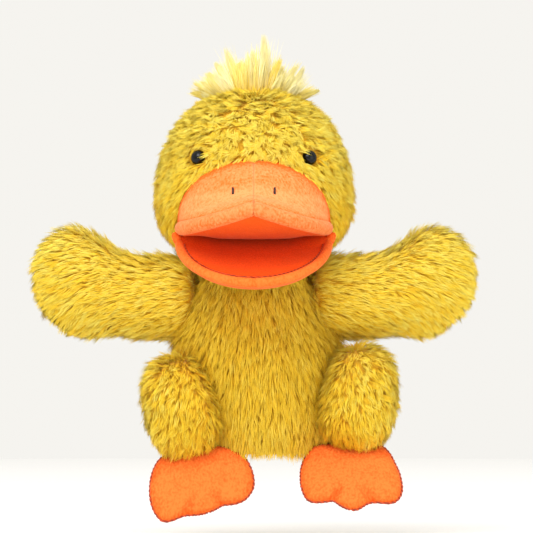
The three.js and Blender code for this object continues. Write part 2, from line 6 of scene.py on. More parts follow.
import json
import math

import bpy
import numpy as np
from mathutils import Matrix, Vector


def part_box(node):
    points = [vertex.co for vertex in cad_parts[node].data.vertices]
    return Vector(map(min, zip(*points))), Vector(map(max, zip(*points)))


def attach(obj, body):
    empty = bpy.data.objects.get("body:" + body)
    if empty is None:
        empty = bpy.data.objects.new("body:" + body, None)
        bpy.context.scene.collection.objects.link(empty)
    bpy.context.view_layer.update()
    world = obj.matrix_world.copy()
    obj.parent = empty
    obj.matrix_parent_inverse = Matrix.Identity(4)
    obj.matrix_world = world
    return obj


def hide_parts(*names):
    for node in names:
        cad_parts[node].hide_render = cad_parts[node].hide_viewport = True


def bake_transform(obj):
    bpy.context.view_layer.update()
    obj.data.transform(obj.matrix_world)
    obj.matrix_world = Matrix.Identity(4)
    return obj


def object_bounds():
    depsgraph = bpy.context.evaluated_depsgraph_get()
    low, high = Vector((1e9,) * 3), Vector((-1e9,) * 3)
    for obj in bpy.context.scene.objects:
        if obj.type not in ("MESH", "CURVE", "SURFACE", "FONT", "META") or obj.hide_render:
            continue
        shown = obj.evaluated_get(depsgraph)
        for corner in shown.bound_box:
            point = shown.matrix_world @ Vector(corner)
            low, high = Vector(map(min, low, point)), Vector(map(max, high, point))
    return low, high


bl_info = {
    "name": "Duck Hand Puppet",
    "version": (1, 0, 0),
    "blender": (4, 5, 0),
    "location": "3D View > Sidebar > Puppet",
    "description": "Sews, stuffs and combs a plush duck hand puppet round its packed frame",
    "category": "Add Mesh",
}

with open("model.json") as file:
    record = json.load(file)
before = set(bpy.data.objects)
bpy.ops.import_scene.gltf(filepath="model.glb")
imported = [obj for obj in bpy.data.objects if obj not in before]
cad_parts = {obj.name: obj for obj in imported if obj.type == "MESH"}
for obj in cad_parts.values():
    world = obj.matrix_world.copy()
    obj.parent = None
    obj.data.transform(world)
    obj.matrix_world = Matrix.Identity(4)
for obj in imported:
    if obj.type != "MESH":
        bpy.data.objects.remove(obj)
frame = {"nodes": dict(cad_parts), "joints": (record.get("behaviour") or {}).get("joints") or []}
cad_low, cad_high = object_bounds()

MM = 0.001
QUARTER = math.pi / 2
SIDES = {"left": -1, "right": 1}


# ------------------------------------------------------------------ places taken from the frame
def box_mm(*nodes):
    """Lowest and highest corner of one or more frame nodes, in millimetres."""
    corners = [np.array(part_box(node)) / MM for node in nodes]
    return np.min([c[0] for c in corners], axis=0), np.max([c[1] for c in corners], axis=0)


def joint_named(name):
    return next(joint for joint in frame["joints"] if joint["name"] == name)


def pivot_mm(name):
    return np.array(joint_named(name)["pos_m"], float) / MM


head_low, head_high = box_mm("head_left_panel", "head_right_panel", "head_back_panel")
HEAD_HALF = (head_high[0] - head_low[0]) / 2
HEAD_DEEP = 0.877 * HEAD_HALF
HEAD_RISE = 1.123 * HEAD_HALF
HEAD_DROP = 0.677 * HEAD_HALF
HEAD_FULLNESS = 2.2
MIDDLE = (head_high[0] + head_low[0]) / 2
HEAD_AT = np.array([MIDDLE, head_high[1] - HEAD_DEEP, head_high[2] - HEAD_RISE])
NECK_AT = pivot_mm("head_nod")
HINGE = pivot_mm("jaw_open")
BILL_HALF = 50.0
BILL_REACH = 64.0
ARCH_HALF = 52.0
ARCH_BASE = HINGE[2] + 6.2
ARCH_RISE = 46.5
LIP_BASE = HINGE[2] + 11.2
LIP_PEAK = 13.0
LIP_DROP = 4.5
UPPER_TILT = math.radians(12.5)
LOWER_TILT = math.radians(25.5)
RIM_REACH = 61.0
RIM_START = 3.0
RIM_HEIGHT = -2.5


# ------------------------------------------------------------------ colours and nodes
def linear(colour):
    """An sRGB hex colour as linear red, green, blue and alpha. A property's colour is linear already."""
    if not isinstance(colour, str):
        return tuple(colour)
    channels = [int(colour[i:i + 2], 16) / 255 for i in (1, 3, 5)]
    return tuple(c / 12.92 if c <= 0.04045 else ((c + 0.055) / 1.055) ** 2.4 for c in channels) + (1.0,)


def add_node(tree, kind, settings=None, inputs=None):
    """Adds a node. An input is a value or another node's output, and stops fill its colour ramp."""
    made = tree.nodes.new(kind)
    for name, value in (settings or {}).items():
        if name == "stops":
            ramp = made.color_ramp.elements
            while len(ramp) < len(value):
                ramp.new(0.5)
            for element, (place, colour) in zip(ramp, value):
                element.position = place
                element.color = colour
        else:
            setattr(made, name, value)
    for name, value in (inputs or {}).items():
        if isinstance(value, bpy.types.NodeSocket):
            tree.links.new(value, made.inputs[name])
        else:
            made.inputs[name].default_value = value
    return made


def new_material(name, roughness, colour=None, **shader):
    """A material with its Principled shader's own sockets set. Returns it, its tree and its shader."""
    made = bpy.data.materials.new(name)
    made.use_nodes = True
    tree = made.node_tree
    principled = tree.nodes["Principled BSDF"]
    principled.inputs["Roughness"].default_value = roughness
    if colour is not None:
        principled.inputs["Base Color"].default_value = colour
    for socket, value in shader.items():
        principled.inputs[socket.replace("_", " ")].default_value = value
    return made, tree, principled


def grains(tree, spacing_mm, detail=2.0, stretch=(1, 1, 1)):
    """Noise whose grains are about spacing_mm across, in the piece's own coordinates."""
    place = add_node(tree, "ShaderNodeTexCoord")
    scaled = add_node(tree, "ShaderNodeMapping", {}, {"Vector": place.outputs["Object"], "Scale": stretch})
    inputs = {"Vector": scaled.outputs["Vector"], "Scale": 1 / (spacing_mm * MM), "Detail": detail}
    return add_node(tree, "ShaderNodeTexNoise", {}, inputs).outputs["Fac"]


def roughen(tree, shader, height, depth_mm, strength=1.0):
    """Raises the surface by a height pattern, depth_mm from its lowest to its highest."""
    inputs = {"Height": height, "Distance": depth_mm * MM, "Strength": strength}
    bump = add_node(tree, "ShaderNodeBump", {}, inputs)
    tree.links.new(bump.outputs["Normal"], shader.inputs["Normal"])


def mixed(tree, share, first, second, blend="MIX"):
    """The colour between two colours, or one laid over the other. Each is a value or a link."""
    inputs = {"Factor": share, "A": first, "B": second}
    node = tree.nodes.new("ShaderNodeMix")
    node.data_type = "RGBA"
    node.blend_type = blend
    sockets = {"Factor": node.inputs[0], "A": node.inputs[6], "B": node.inputs[7]}
    for name, value in inputs.items():
        if isinstance(value, bpy.types.NodeSocket):
            tree.links.new(value, sockets[name])
        else:
            sockets[name].default_value = value
    return node.outputs[2]


PILE_UV = "OFBake"
PILE_ROOT_V = 0.25


def pile_material(name, dark, middle, light, root):
    """Acrylic long pile, dyed and brushed: each fibre has its own tone, and painted shade darkens it
    towards its root, for the shadow deep between the tufts. The fibre's map runs tone across and length up."""
    made, tree, shader = new_material(
        name, 0.6, Sheen_Weight=0.05, Sheen_Roughness=0.4, Specular_IOR_Level=0.2,
    )
    shader.inputs["Sheen Tint"].default_value = linear("#FFF3B8")
    where = add_node(tree, "ShaderNodeUVMap", {"uv_map": PILE_UV})
    split = add_node(tree, "ShaderNodeSeparateXYZ", {}, {"Vector": where.outputs["UV"]})
    tone = add_node(tree, "ShaderNodeValToRGB",
                    {"stops": [(0.0, linear(dark)), (0.45, linear(middle)), (1.0, linear(light))]},
                    {"Fac": split.outputs["X"]})
    reach = add_node(tree, "ShaderNodeMapRange", {},
                     {"Value": split.outputs["Y"], "From Min": PILE_ROOT_V, "From Max": 1.0})
    # Painted shade: the root colour darkens each fibre towards its root.
    shade = add_node(tree, "ShaderNodeValToRGB",
                     {"stops": [(0.0, linear(root)), (0.35, linear("#F6EBD2")), (0.75, linear("#FFFFFF"))]},
                     {"Fac": reach.outputs["Result"]})
    colour = mixed(tree, 1.0, tone.outputs["Color"], shade.outputs["Color"], "MULTIPLY")
    tree.links.new(colour, shader.inputs["Base Color"])
    return made


def backing_material(name, dark, light):
    """Knitted polyester ground that the pile is sewn through: dull, with loops about 1 mm apart."""
    made, tree, shader = new_material(name, 0.92, Sheen_Weight=0.2)
    loops = grains(tree, 1.0, 1.0)
    colour = mixed(tree, loops, linear(dark), linear(light))
    tree.links.new(colour, shader.inputs["Base Color"])
    roughen(tree, shader, loops, 0.3)
    return made


def velboa_material(name, light, dark, sheen=0.12, nap_mm=1.5):
    """Sheared polyester velboa: a nap about 1 mm high that brushes into paler and deeper patches and
    glows at its edges. The piece's shade attribute deepens it at seams and where painted shade and shadow
    fall, and pales it for painted highlights. The nap is drawn twice as coarse as real so that it shows."""
    made, tree, shader = new_material(
        name, 0.78, Sheen_Weight=sheen, Sheen_Roughness=0.35, Specular_IOR_Level=0.15,
    )
    shader.inputs["Sheen Tint"].default_value = linear("#FFE2C4")
    shade = add_node(tree, "ShaderNodeAttribute", {"attribute_name": "shade"})
    brushed = grains(tree, 9.0, 2.0)
    nap = grains(tree, nap_mm, 3.0, (1.0, 1.0, 0.7))
    patch = add_node(tree, "ShaderNodeMath", {"operation": "MULTIPLY_ADD"},
                     {0: brushed, 1: 0.55, 2: shade.outputs["Fac"]})
    fine = add_node(tree, "ShaderNodeMath", {"operation": "MULTIPLY_ADD"},
                    {0: nap, 1: 2.2, 2: patch.outputs[0]})
    span = {"Value": fine.outputs[0], "From Min": 1.22, "From Max": 2.35}
    share = add_node(tree, "ShaderNodeMapRange", {}, span)
    colour = mixed(tree, share.outputs["Result"], linear(light), linear(dark))
    tree.links.new(colour, shader.inputs["Base Color"])
    roughen(tree, shader, nap, 0.45, 0.8)
    return made


def tricot_material(name, light, dark):
    """Warp-knitted polyester tricot lining: fine ribs 0.8 mm apart and a faint sheen."""
    made, tree, shader = new_material(name, 0.7, Sheen_Weight=0.25, Specular_IOR_Level=0.3)
    place = add_node(tree, "ShaderNodeTexCoord")
    ribs = add_node(tree, "ShaderNodeTexWave", {"wave_type": "BANDS", "bands_direction": "X"},
                    {"Vector": place.outputs["Object"], "Scale": 1 / (0.8 * MM) / 6.28, "Distortion": 0.6})
    colour = mixed(tree, ribs.outputs["Fac"], linear(dark), linear(light))
    tree.links.new(colour, shader.inputs["Base Color"])
    roughen(tree, shader, ribs.outputs["Fac"], 0.2)
    return made


def thread_material(name, light, dark):
    """Three-ply bonded polyester thread: a twist every 1.2 mm and a low gloss."""
    made, tree, shader = new_material(name, 0.45, Specular_IOR_Level=0.4)
    place = add_node(tree, "ShaderNodeTexCoord")
    twist = add_node(tree, "ShaderNodeTexWave", {"wave_type": "BANDS", "bands_direction": "DIAGONAL"},
                     {"Vector": place.outputs["Object"], "Scale": 1 / (1.2 * MM) / 6.28})
    colour = mixed(tree, twist.outputs["Fac"], linear(dark), linear(light))
    tree.links.new(colour, shader.inputs["Base Color"])
    roughen(tree, shader, twist.outputs["Fac"], 0.25)
    return made


def eye_material(name, colour):
    """Injection-moulded ABS, polished: black, with a clear hard gloss and a hair of ripple."""
    made, tree, shader = new_material(name, 0.06, linear(colour), Specular_IOR_Level=0.28)
    roughen(tree, shader, grains(tree, 4.0, 1.0), 0.02, 0.3)
    return made


def moulded_material(name, light, dark, roughness=0.5):
    """Moulded polypropylene or pressed board: matt, with a faint grain 0.7 mm across."""
    made, tree, shader = new_material(name, roughness, IOR=1.49)
    grain = grains(tree, 0.7, 4.0)
    colour = mixed(tree, grain, linear(dark), linear(light))
    tree.links.new(colour, shader.inputs["Base Color"])
    roughen(tree, shader, grain, 0.05)
    return made


def paper_material(name, colour):
    """Painted studio board: pale and matt, with a roller's faint orange peel 3 mm across."""
    made, tree, shader = new_material(name, 0.9)
    peel = grains(tree, 3.0, 2.0)
    shade = mixed(tree, peel, linear(colour), linear("#FFFFFF"))
    tree.links.new(shade, shader.inputs["Base Color"])
    return made


# The last colour of each pile is the painted shade at its fibres' roots.
FINISHES = {
    "pile": lambda c: pile_material("acrylic_long_pile", "#F4BE20", c.pile, "#FFEE6C", "#F2C654"),
    # Painted shade: the body's and neck's pile is the head's pile drawn deeper.
    "shaded_belly_pile": lambda c: pile_material(
        "acrylic_long_pile_belly_shaded", "#E6B31C", c.belly, "#FFE052", "#E4B74A"),
    "crest_pile": lambda c: pile_material("acrylic_crest_pile", "#FFE05A", c.crest, "#FFF8CC", "#F4CC54"),
    # The backing's deeper gold is partly its own colour and partly painted shade for the gaps between the
    # fibres.
    "backing": lambda c: backing_material("knitted_pile_backing", "#D9A01C", "#EDB92A"),
    "bill": lambda c: velboa_material("peach_velboa_bill", c.bill, "#FF6604"),
    "lip": lambda c: velboa_material("peach_velboa_lip", c.lip, "#D2600E"),
    "rim": lambda c: velboa_material("orange_velboa_rim", c.rim, "#E25402"),
    "foot": lambda c: velboa_material("orange_velboa_foot", c.foot, "#DC4A02"),
    "palate": lambda c: velboa_material("deep_orange_short_velour", c.palate, "#D84A04", 0.1, 0.8),
    "floor": lambda c: velboa_material("red_orange_short_velour", c.mouth_floor, "#C43A04", 0.1, 0.8),
    "seam": lambda c: thread_material("orange_seam_thread", "#C8470C", "#8E2A04"),
    "nostril": lambda c: thread_material("brown_embroidery_thread", "#4A1D12", "#240C08"),
    "eye": lambda c: eye_material("black_polished_abs", c.eyes),
    "lining": lambda c: tricot_material("yellow_polyester_tricot", c.lining, "#CFA324"),
    "board": lambda c: moulded_material("pressed_polypropylene_board", "#DCD7C8", "#C4BEAC"),
    "washer": lambda c: moulded_material("moulded_nylon_washer", "#F4F4F0", "#DEDED8", 0.4),
    "studio": lambda c: paper_material("painted_studio_board", "#F4F3F1"),
}
made_materials = {}


def finish(name):
    """The material of that name, made the first time that a piece asks for it."""
    if name not in made_materials:
        made_materials[name] = FINISHES[name](bpy.context.scene.puppet_colours)
    return made_materials[name]


# ------------------------------------------------------------------ meshes
def unit(vectors):
    return vectors / np.maximum(np.linalg.norm(vectors, axis=-1, keepdims=True), 1e-9)


def smooth_step(x):
    x = np.clip(x, 0, 1)
    return x * x * (3 - 2 * x)


def bell(x, centre, width):
    """A smooth bump, 1 at its centre, that has mostly died away two widths from it."""
    return np.exp(-((x - centre) / width) ** 2)


def across(normals, vectors):
    """The part of each vector that lies in the surface, at unit length."""
    return unit(vectors - normals * np.sum(normals * vectors, axis=-1, keepdims=True))


def mesh_piece(name, points, groups):
    """One mesh object from points in millimetres. A group is (faces, material, corner map or None)."""
    mesh = bpy.data.meshes.new(name)
    mesh.vertices.add(len(points))
    mesh.vertices.foreach_set("co", (np.asarray(points) * MM).astype(np.float32).ravel())
    corners = np.concatenate([faces.ravel() for faces, _, _ in groups])
    sizes = np.concatenate([np.full(len(faces), faces.shape[1]) for faces, _, _ in groups])
    starts = np.concatenate([[0], np.cumsum(sizes)[:-1]])
    mesh.loops.add(len(corners))
    mesh.loops.foreach_set("vertex_index", corners.astype(np.int32))
    mesh.polygons.add(len(sizes))
    mesh.polygons.foreach_set("loop_start", starts.astype(np.int32))
    names = list(dict.fromkeys(material for _, material, _ in groups))
    slots = np.concatenate([np.full(len(faces), names.index(material)) for faces, material, _ in groups])
    for material in names:
        mesh.materials.append(finish(material))
    mesh.polygons.foreach_set("material_index", slots.astype(np.int32))
    if any(uv is not None for _, _, uv in groups):
        layer = mesh.uv_layers.new(name=PILE_UV)
        layer.data.foreach_set("uv", np.concatenate([uv.ravel() for _, _, uv in groups]).astype(np.float32))
    mesh.update(calc_edges=True)
    mesh.validate()
    mesh.shade_smooth()
    made = bpy.data.objects.new(name, mesh)
    bpy.context.scene.collection.objects.link(made)
    return made


class Surface:
    """A soft panel as rows of points. A closed one wraps round its columns, and a pole closes an end."""

    def __init__(self, points, inside, wrap=False, poles=(False, False)):
        self.points = np.asarray(points, float)
        rows, columns = self.points.shape[:2]
        self.wrap = wrap
        self.poles = poles
        span = columns if wrap else columns - 1
        row, column = np.meshgrid(np.arange(rows - 1), np.arange(span), indexing="ij")
        following = (column + 1) % columns
        near, far = row * columns, (row + 1) * columns
        quads = np.stack([near + column, near + following, far + following, far + column], -1)
        self.quads = quads.reshape(-1, 4)
        self.normals = self.find_normals()
        if np.sum(self.normals * (self.points - np.asarray(inside))) < 0:
            self.normals = -self.normals
            self.quads = self.quads[:, ::-1]

    def find_normals(self):
        down = np.gradient(self.points, axis=0)
        ring = self.points
        if self.wrap:
            ring = np.concatenate([ring[:, -1:], ring, ring[:, :1]], axis=1)
        along = np.gradient(ring, axis=1)
        if self.wrap:
            along = along[:, 1:-1]
        normals = unit(np.cross(along, down))
        if self.poles[0]:
            normals[0] = unit(normals[1].mean(0))
        if self.poles[1]:
            normals[-1] = unit(normals[-2].mean(0))
        return normals

    def cut(self, inside):
        """Takes away the quads whose middles are inside."""
        middles = self.points.reshape(-1, 3)[self.quads].mean(1)
        self.quads = self.quads[~inside(middles)]
        return self

    def scatter(self, density, rng):
        """Random places spread evenly over the surface, with the surface's direction at each."""
        corners = self.points.reshape(-1, 3)[self.quads]
        facing = self.normals.reshape(-1, 3)[self.quads]
        diagonals = corners[:, 2] - corners[:, 0], corners[:, 3] - corners[:, 1]
        area = np.linalg.norm(np.cross(*diagonals), axis=1) / 2
        count = int(area.sum() * density)
        pick = rng.choice(len(area), count, p=area / area.sum())
        a, b = rng.random(count), rng.random(count)
        share = np.stack([(1 - a) * (1 - b), a * (1 - b), a * b, (1 - a) * b], -1)[..., None]
        return (corners[pick] * share).sum(1), unit((facing[pick] * share).sum(1))

    def closed(self):
        """Points and faces of a surface that is closed already, its poles drawn to one point each."""
        columns = self.points.shape[1]
        flat = self.points.reshape(-1, 3)
        index = np.arange(len(flat))
        if self.poles[0]:
            index[:columns] = 0
        if self.poles[1]:
            index[-columns:] = len(flat) - columns
        quads = index[self.quads]
        twice = quads == np.roll(quads, -1, axis=1)
        thin = twice.any(1)
        order = (np.argmax(twice[thin], axis=1)[:, None] + np.arange(1, 4)) % 4
        tris = np.take_along_axis(quads[thin], order, axis=1)
        return flat, [quads[~thin], tris]

    def wall(self, thickness):
        """Points and faces of an open panel given a thickness inwards."""
        flat = self.points.reshape(-1, 3)
        count = len(flat)
        inner = flat - self.normals.reshape(-1, 3) * thickness
        edges = np.concatenate([self.quads[:, [i, (i + 1) % 4]] for i in range(4)])
        _, where, uses = np.unique(np.sort(edges, axis=1), axis=0, return_inverse=True, return_counts=True)
        rim = edges[uses[where.ravel()] == 1]
        strips = np.stack([rim[:, 1], rim[:, 0], rim[:, 0] + count, rim[:, 1] + count], -1)
        return np.concatenate([flat, inner]), [self.quads, self.quads[:, ::-1] + count, strips]


def used_only(points, faces):
    """Drops the points that no face uses."""
    used = np.unique(np.concatenate([face.ravel() for face in faces]))
    index = np.full(len(points), -1)
    index[used] = np.arange(len(used))
    return points[used], [index[face] for face in faces], used


def seat(piece, body, slot, *nodes, fill=None):
    """Fixes a piece to its body, in place of the frame's nodes that it stands for. The slot is not used.
    The fill is not used."""
    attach(piece, body)
    if nodes:
        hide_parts(*nodes)


def cloth_piece(name, surface, material, thickness=None, shade=None):
    """A plain cloth piece of a surface, closed or given a thickness, with the painted shade and highlights and
    the seams that its shade attribute carries.
    """
    points, faces = surface.closed() if thickness is None else surface.wall(thickness)
    faces = [face for face in faces if len(face)]
    points, faces, used = used_only(points, faces)
    made = mesh_piece(name, points, [(face, material, None) for face in faces])
    if shade is not None:
        values = np.concatenate([shade.ravel()] * 2)[used]
        layer = made.data.attributes.new("shade", "FLOAT", "POINT")
        layer.data.foreach_set("value", values.astype(np.float32))
    return made


def roll(path, radius, sides):
    """A round tube of changing radius along a path. Its ends close at a point."""
    path = np.asarray(path, float)
    radius = np.asarray(radius, float)
    forward = unit(np.gradient(path, axis=0))
    side = unit(np.cross(forward, [0.0, 0.0, 1.0]))
    up = np.cross(side, forward)
    turn = np.linspace(0, 2 * math.pi, sides, endpoint=False)[None, :, None]
    ring = np.cos(turn) * side[:, None] + np.sin(turn) * up[:, None]
    points = path[:, None] + ring * radius[:, None, None]
    surface = Surface(points, path.mean(0), wrap=True, poles=(True, True))
    if np.sum(surface.normals[1:-1] * (points - path[:, None])[1:-1]) < 0:
        surface.normals = -surface.normals
        surface.quads = surface.quads[:, ::-1]
    return surface


def end_taper(count, length, radius, first=1.0, last=1.0):
    """The radius of a roll along its length. An end's share is 1 for a round end, less for a flat one."""
    place = np.linspace(0, length, count)
    start = np.sqrt(np.clip(1 - (1 - np.clip(place / (radius * first), 0, 1)) ** 2, 0, 1))
    stop = np.sqrt(np.clip(1 - (1 - np.clip((length - place) / (radius * last), 0, 1)) ** 2, 0, 1))
    return radius * start * stop


def even_path(points, count):
    """The same path with its points spaced evenly."""
    points = np.asarray(points, float)
    steps = np.concatenate([[0], np.cumsum(np.linalg.norm(np.diff(points, axis=0), axis=1))])
    wanted = np.linspace(0, steps[-1], count)
    return np.stack([np.interp(wanted, steps, points[:, i]) for i in range(3)], -1), steps[-1]


# ------------------------------------------------------------------ pile
def fibres(roots, first, last, length, width, tone, sections, clump=None, pull=0.0):
    """Tapering three-sided fibres that bend from one direction to another. Each tuft's fibres
    lean together towards the tip of the fibre that the tuft's number names."""
    count = len(roots)
    steps = [roots]
    for k in range(1, sections + 1):
        heading = unit(first + (last - first) * ((k - 0.5) / sections))
        steps.append(steps[-1] + heading * (length / sections)[:, None])
    if clump is not None:
        leader = [step[clump] for step in steps]
        for k in range(1, sections + 1):
            steps[k] = steps[k] + (leader[k] - steps[k]) * (pull * (k / sections) ** 1.5)[:, None]
    side = unit(np.cross(first, last) + 1e-3 * np.array([0.3, 1.0, 0.2]))
    rows = []
    for k in range(sections):
        heading = unit(steps[k + 1] - steps[max(k - 1, 0)])
        along = unit(side - heading * np.sum(side * heading, axis=1, keepdims=True))
        over = np.cross(along, heading)
        half = (width * (1 - 0.55 * (k / sections) ** 1.5) / 2)[:, None]
        rows += [steps[k] - along * half, steps[k] + along * half, steps[k] + over * half * 0.7]
    rows.append(steps[sections])
    points = np.stack(rows, axis=1)
    size = 3 * sections + 1
    base = (np.arange(count) * size)[:, None]
    quads, tips = [], []
    for k in range(sections - 1):
        for a, b in ((1, 0), (2, 1), (0, 2)):
            quads.append(base + 3 * k + np.array([a, b, b + 3, a + 3]))
    for a, b in ((1, 0), (2, 1), (0, 2)):
        tips.append(base + np.array([3 * (sections - 1) + a, 3 * (sections - 1) + b, size - 1]))
    tips.append(base + np.array([0, 1, 2]))
    quads, tips = np.concatenate(quads), np.concatenate(tips)
    level = np.concatenate([np.repeat(np.arange(sections) / sections, 3), [1.0]])
    shift = np.concatenate([np.tile([0.0, 0.012, 0.024], sections), [0.012]])
    across_map = (tone[:, None] * 0.96 + 0.01 + shift).ravel()
    up_map = np.tile(PILE_ROOT_V + 0.01 + level * (0.98 - PILE_ROOT_V), count)
    table = np.stack([across_map, up_map], -1)
    return points.reshape(-1, 3), [(quads, table[quads]), (tips, table[tips])]


def nearest(points, centres):
    """For each point, the number of the centre nearest to it."""
    found = np.empty(len(points), int)
    for start in range(0, len(points), 2000):
        block = points[start:start + 2000]
        away = ((block[:, None] - centres[None]) ** 2).sum(-1)
        found[start:start + 2000] = away.argmin(1)
    return found


PILE_SECTIONS = 2


def cut_and_comb(sizes, length, tuft, swirl, stand, lie, pull, thick=1.0, fine=1.0, tone=None, trim=None):
    """How one panel's pile is made. A tuft's fibres swirl, stand and lie at angles in degrees (swirl in
    radians) and pull together; tone changes its colour from place to place, where it paints light and shade
    and, on a leg, a mottled patch, and trim changes its length."""
    return {"density": sizes.density * thick, "width": sizes.fibre_width * fine, "length": length,
            "tuft": tuft, "swirl": swirl, "stand": stand, "lie": lie, "pull": pull, "tone": tone, "trim": trim}


def grow_pile(surface, pile, comb, keep, seed):
    """Pile over a surface: combed one way, with tufts that turn, stand and shine a little differently.
    Returns the way that each point's skin faces, the points and the faces."""
    rng = np.random.default_rng(seed)
    roots, normals = surface.scatter(pile["density"], rng)
    if keep is not None:
        kept = keep(roots)
        roots, normals = roots[kept], normals[kept]
    flow = across(normals, comb(roots, normals))
    count = len(roots)
    chosen = rng.choice(count, max(1, int(count / pile["tuft"])), replace=False)
    tuft = nearest(roots, roots[chosen])
    tufts = len(chosen)
    swirl = pile["swirl"](roots) if callable(pile["swirl"]) else np.full(count, pile["swirl"])
    turn = rng.normal(0, 1, tufts)[tuft] * swirl + rng.normal(0, 0.12, count)
    sideways = np.cross(normals, flow)
    heading = flow * np.cos(turn)[:, None] + sideways * np.sin(turn)[:, None]
    curl = turn + rng.normal(0, 0.6, tufts)[tuft] * swirl
    ending = flow * np.cos(curl)[:, None] + sideways * np.sin(curl)[:, None]
    stand = np.radians(pile["stand"]) + rng.normal(0, 0.16, tufts)[tuft] + rng.normal(0, 0.08, count)
    lie = np.radians(pile["lie"]) + rng.normal(0, 0.16, tufts)[tuft] + rng.normal(0, 0.08, count)
    first = normals * np.sin(stand)[:, None] + heading * np.cos(stand)[:, None]
    last = normals * np.sin(lie)[:, None] + ending * np.cos(lie)[:, None]
    length = pile["length"] * (1 + rng.normal(0, 0.1, tufts)[tuft] + rng.normal(0, 0.08, count))
    width = pile["width"] * (0.8 + 0.4 * rng.random(count))
    tone = 0.5 + rng.normal(0, 0.13, tufts)[tuft] + rng.normal(0, 0.13, count)
    if pile["trim"]:
        length = length * pile["trim"](roots)
    if pile["tone"]:
        tone = tone + pile["tone"](roots)
    pull = pile["pull"] * (0.6 + 0.8 * rng.random(tufts)[tuft])
    sunk = roots - normals * 0.4
    points, faces = fibres(sunk, first, last, length, width, np.clip(tone, 0, 1), PILE_SECTIONS,
                           chosen[tuft], np.clip(pull, 0, 0.95))
    return np.repeat(normals, 3 * PILE_SECTIONS + 1, axis=0), points, faces


def plush(name, surface, pile, comb, keep, seed, thickness=None, material="pile"):
    """A plush panel: its knitted backing, closed or with a thickness, and the pile that grows on it."""
    points, faces = surface.closed() if thickness is None else surface.wall(thickness)
    points, faces, _ = used_only(points, [face for face in faces if len(face)])
    place = np.stack([0.05 + 0.9 * np.arange(len(points)) / len(points), np.full(len(points), 0.1)], -1)
    place[:, 1] += 0.08 * (np.arange(len(points)) % 2)
    groups = [(face, "backing", place[face]) for face in faces]
    facing, fibre_points, fibre_faces = grow_pile(surface, pile, comb, keep, seed)
    groups += [(face + len(points), material, uv) for face, uv in fibre_faces]
    made = mesh_piece(name, np.concatenate([points, fibre_points]), groups)
    soften(made, len(points), facing)
    return made


def soften(piece, first, facing):
    """Turns the fibres' shading towards the way their skin faces, as fine pile scatters light."""
    own = np.empty(len(piece.data.vertices) * 3, np.float32)
    piece.data.vertices.foreach_get("normal", own)
    own = own.reshape(-1, 3)
    own[first:] = unit(own[first:] * 0.4 + facing * 0.6)
    piece.data.normals_split_custom_set_from_vertices(own)


# ------------------------------------------------------------------ sizes and colours a user would change
def size_property(name, description, default, **limits):
    return bpy.props.FloatProperty(name=name, description=description, default=default, **limits)


def colour_property(name, description, hex_code):
    return bpy.props.FloatVectorProperty(
        name=name, description=description, default=linear(hex_code), subtype="COLOR", size=4, min=0, max=1,
    )


class PuppetColours(bpy.types.PropertyGroup):
    """The main tone of each cloth and of the eyes."""

    pile: colour_property("Pile", "Head, wings and legs", "#FFD834")
    # Painted shade: the body's pile is the head's pile drawn deeper.
    belly: colour_property("Belly pile", "Body and neck", "#F6CA2A")
    crest: colour_property("Crest pile", "Tuft on the crown", "#FFEE90")
    bill: colour_property("Bill", "Velboa of the upper bill", "#FC9E60")
    lip: colour_property("Lip", "Velboa of the upper lip", "#FA9458")
    rim: colour_property("Rim", "Velboa of the lower bill", "#FF7A30")
    foot: colour_property("Feet", "Velboa of the feet", "#FF7C32")
    palate: colour_property("Palate", "Velour of the palate", "#F06418")
    mouth_floor: colour_property("Mouth floor", "Velour of the mouth's floor", "#EE500E")
    lining: colour_property("Lining", "Tricot of the sleeve and the pockets", "#F2CE4A")
    eyes: colour_property("Eyes", "Polished eyes", "#040405")


class PuppetPileSizes(bpy.types.PropertyGroup):
    """How the plush is cut and combed."""

    head_length: size_property("Head pile", "Length of the head's pile, mm", 9.5, min=2)
    body_length: size_property("Body pile", "Length of the body's pile, mm", 13.0, min=2)
    wing_length: size_property("Wing pile", "Length of the wings' pile, mm", 11.0, min=2)
    leg_length: size_property("Leg pile", "Length of the legs' pile, mm", 10.0, min=2)
    crest_length: size_property("Crest pile", "Length of the crest's tallest wisps, mm", 40.0, min=5)
    fibre_width: size_property("Fibre width", "Width of a drawn fibre at its root, mm", 0.6, min=0.1)
    density: size_property("Density", "Drawn fibres on each square millimetre", 1.0, min=0.01)
    skin_depth: size_property("Skin depth", "How far the backing lies under the frame's skin, mm", 3.2)
    backing: size_property("Backing thickness", "Thickness of the knitted backing, mm", 1.2, min=0.2)


class PuppetBillSizes(bpy.types.PropertyGroup):
    """How the bill and the mouth are padded."""

    lip_radius: size_property("Lip radius", "Radius of the upper lip roll, mm", 4.9, min=1)
    rim_radius: size_property("Rim radius", "Radius of the lower bill's rim, mm", 3.2, min=1)
    crease: size_property("Crease", "Depth of the crease across the bill, mm", 5.0)
    skin: size_property("Velboa thickness", "Thickness of the bill's cloth, mm", 1.2, min=0.2)


class PuppetEyeSizes(bpy.types.PropertyGroup):
    """The safety eyes."""

    radius: size_property("Eye radius", "Radius of each eye, mm", 5.2, min=1)
    dome: size_property("Eye dome", "How far each eye stands out, mm", 4.4, min=0.5)
    spread: size_property("Eye spread", "Each eye's distance from the middle line, mm", 38.0)
    height: size_property("Eye height", "The eyes' height over the jaw hinge, mm", 54.7)


class PuppetStudioSizes(bpy.types.PropertyGroup):
    """The studio."""

    distance: size_property("Camera distance", "From the camera to the puppet", 4.0, unit="LENGTH")
    view_width: size_property("View width", "Width that the camera sees", 0.3638, unit="LENGTH")
    floor_gap: size_property("Floor gap", "Between the toes and the floor", 0.012, unit="LENGTH")
    key_power: size_property("Key light", "Power of the key light, W", 20.0, min=0)
    fill_power: size_property("Fill light", "Power of the fill light, W", 4.0, min=0)
    world_light: size_property("Surround", "Brightness of the surround", 0.92, min=0)


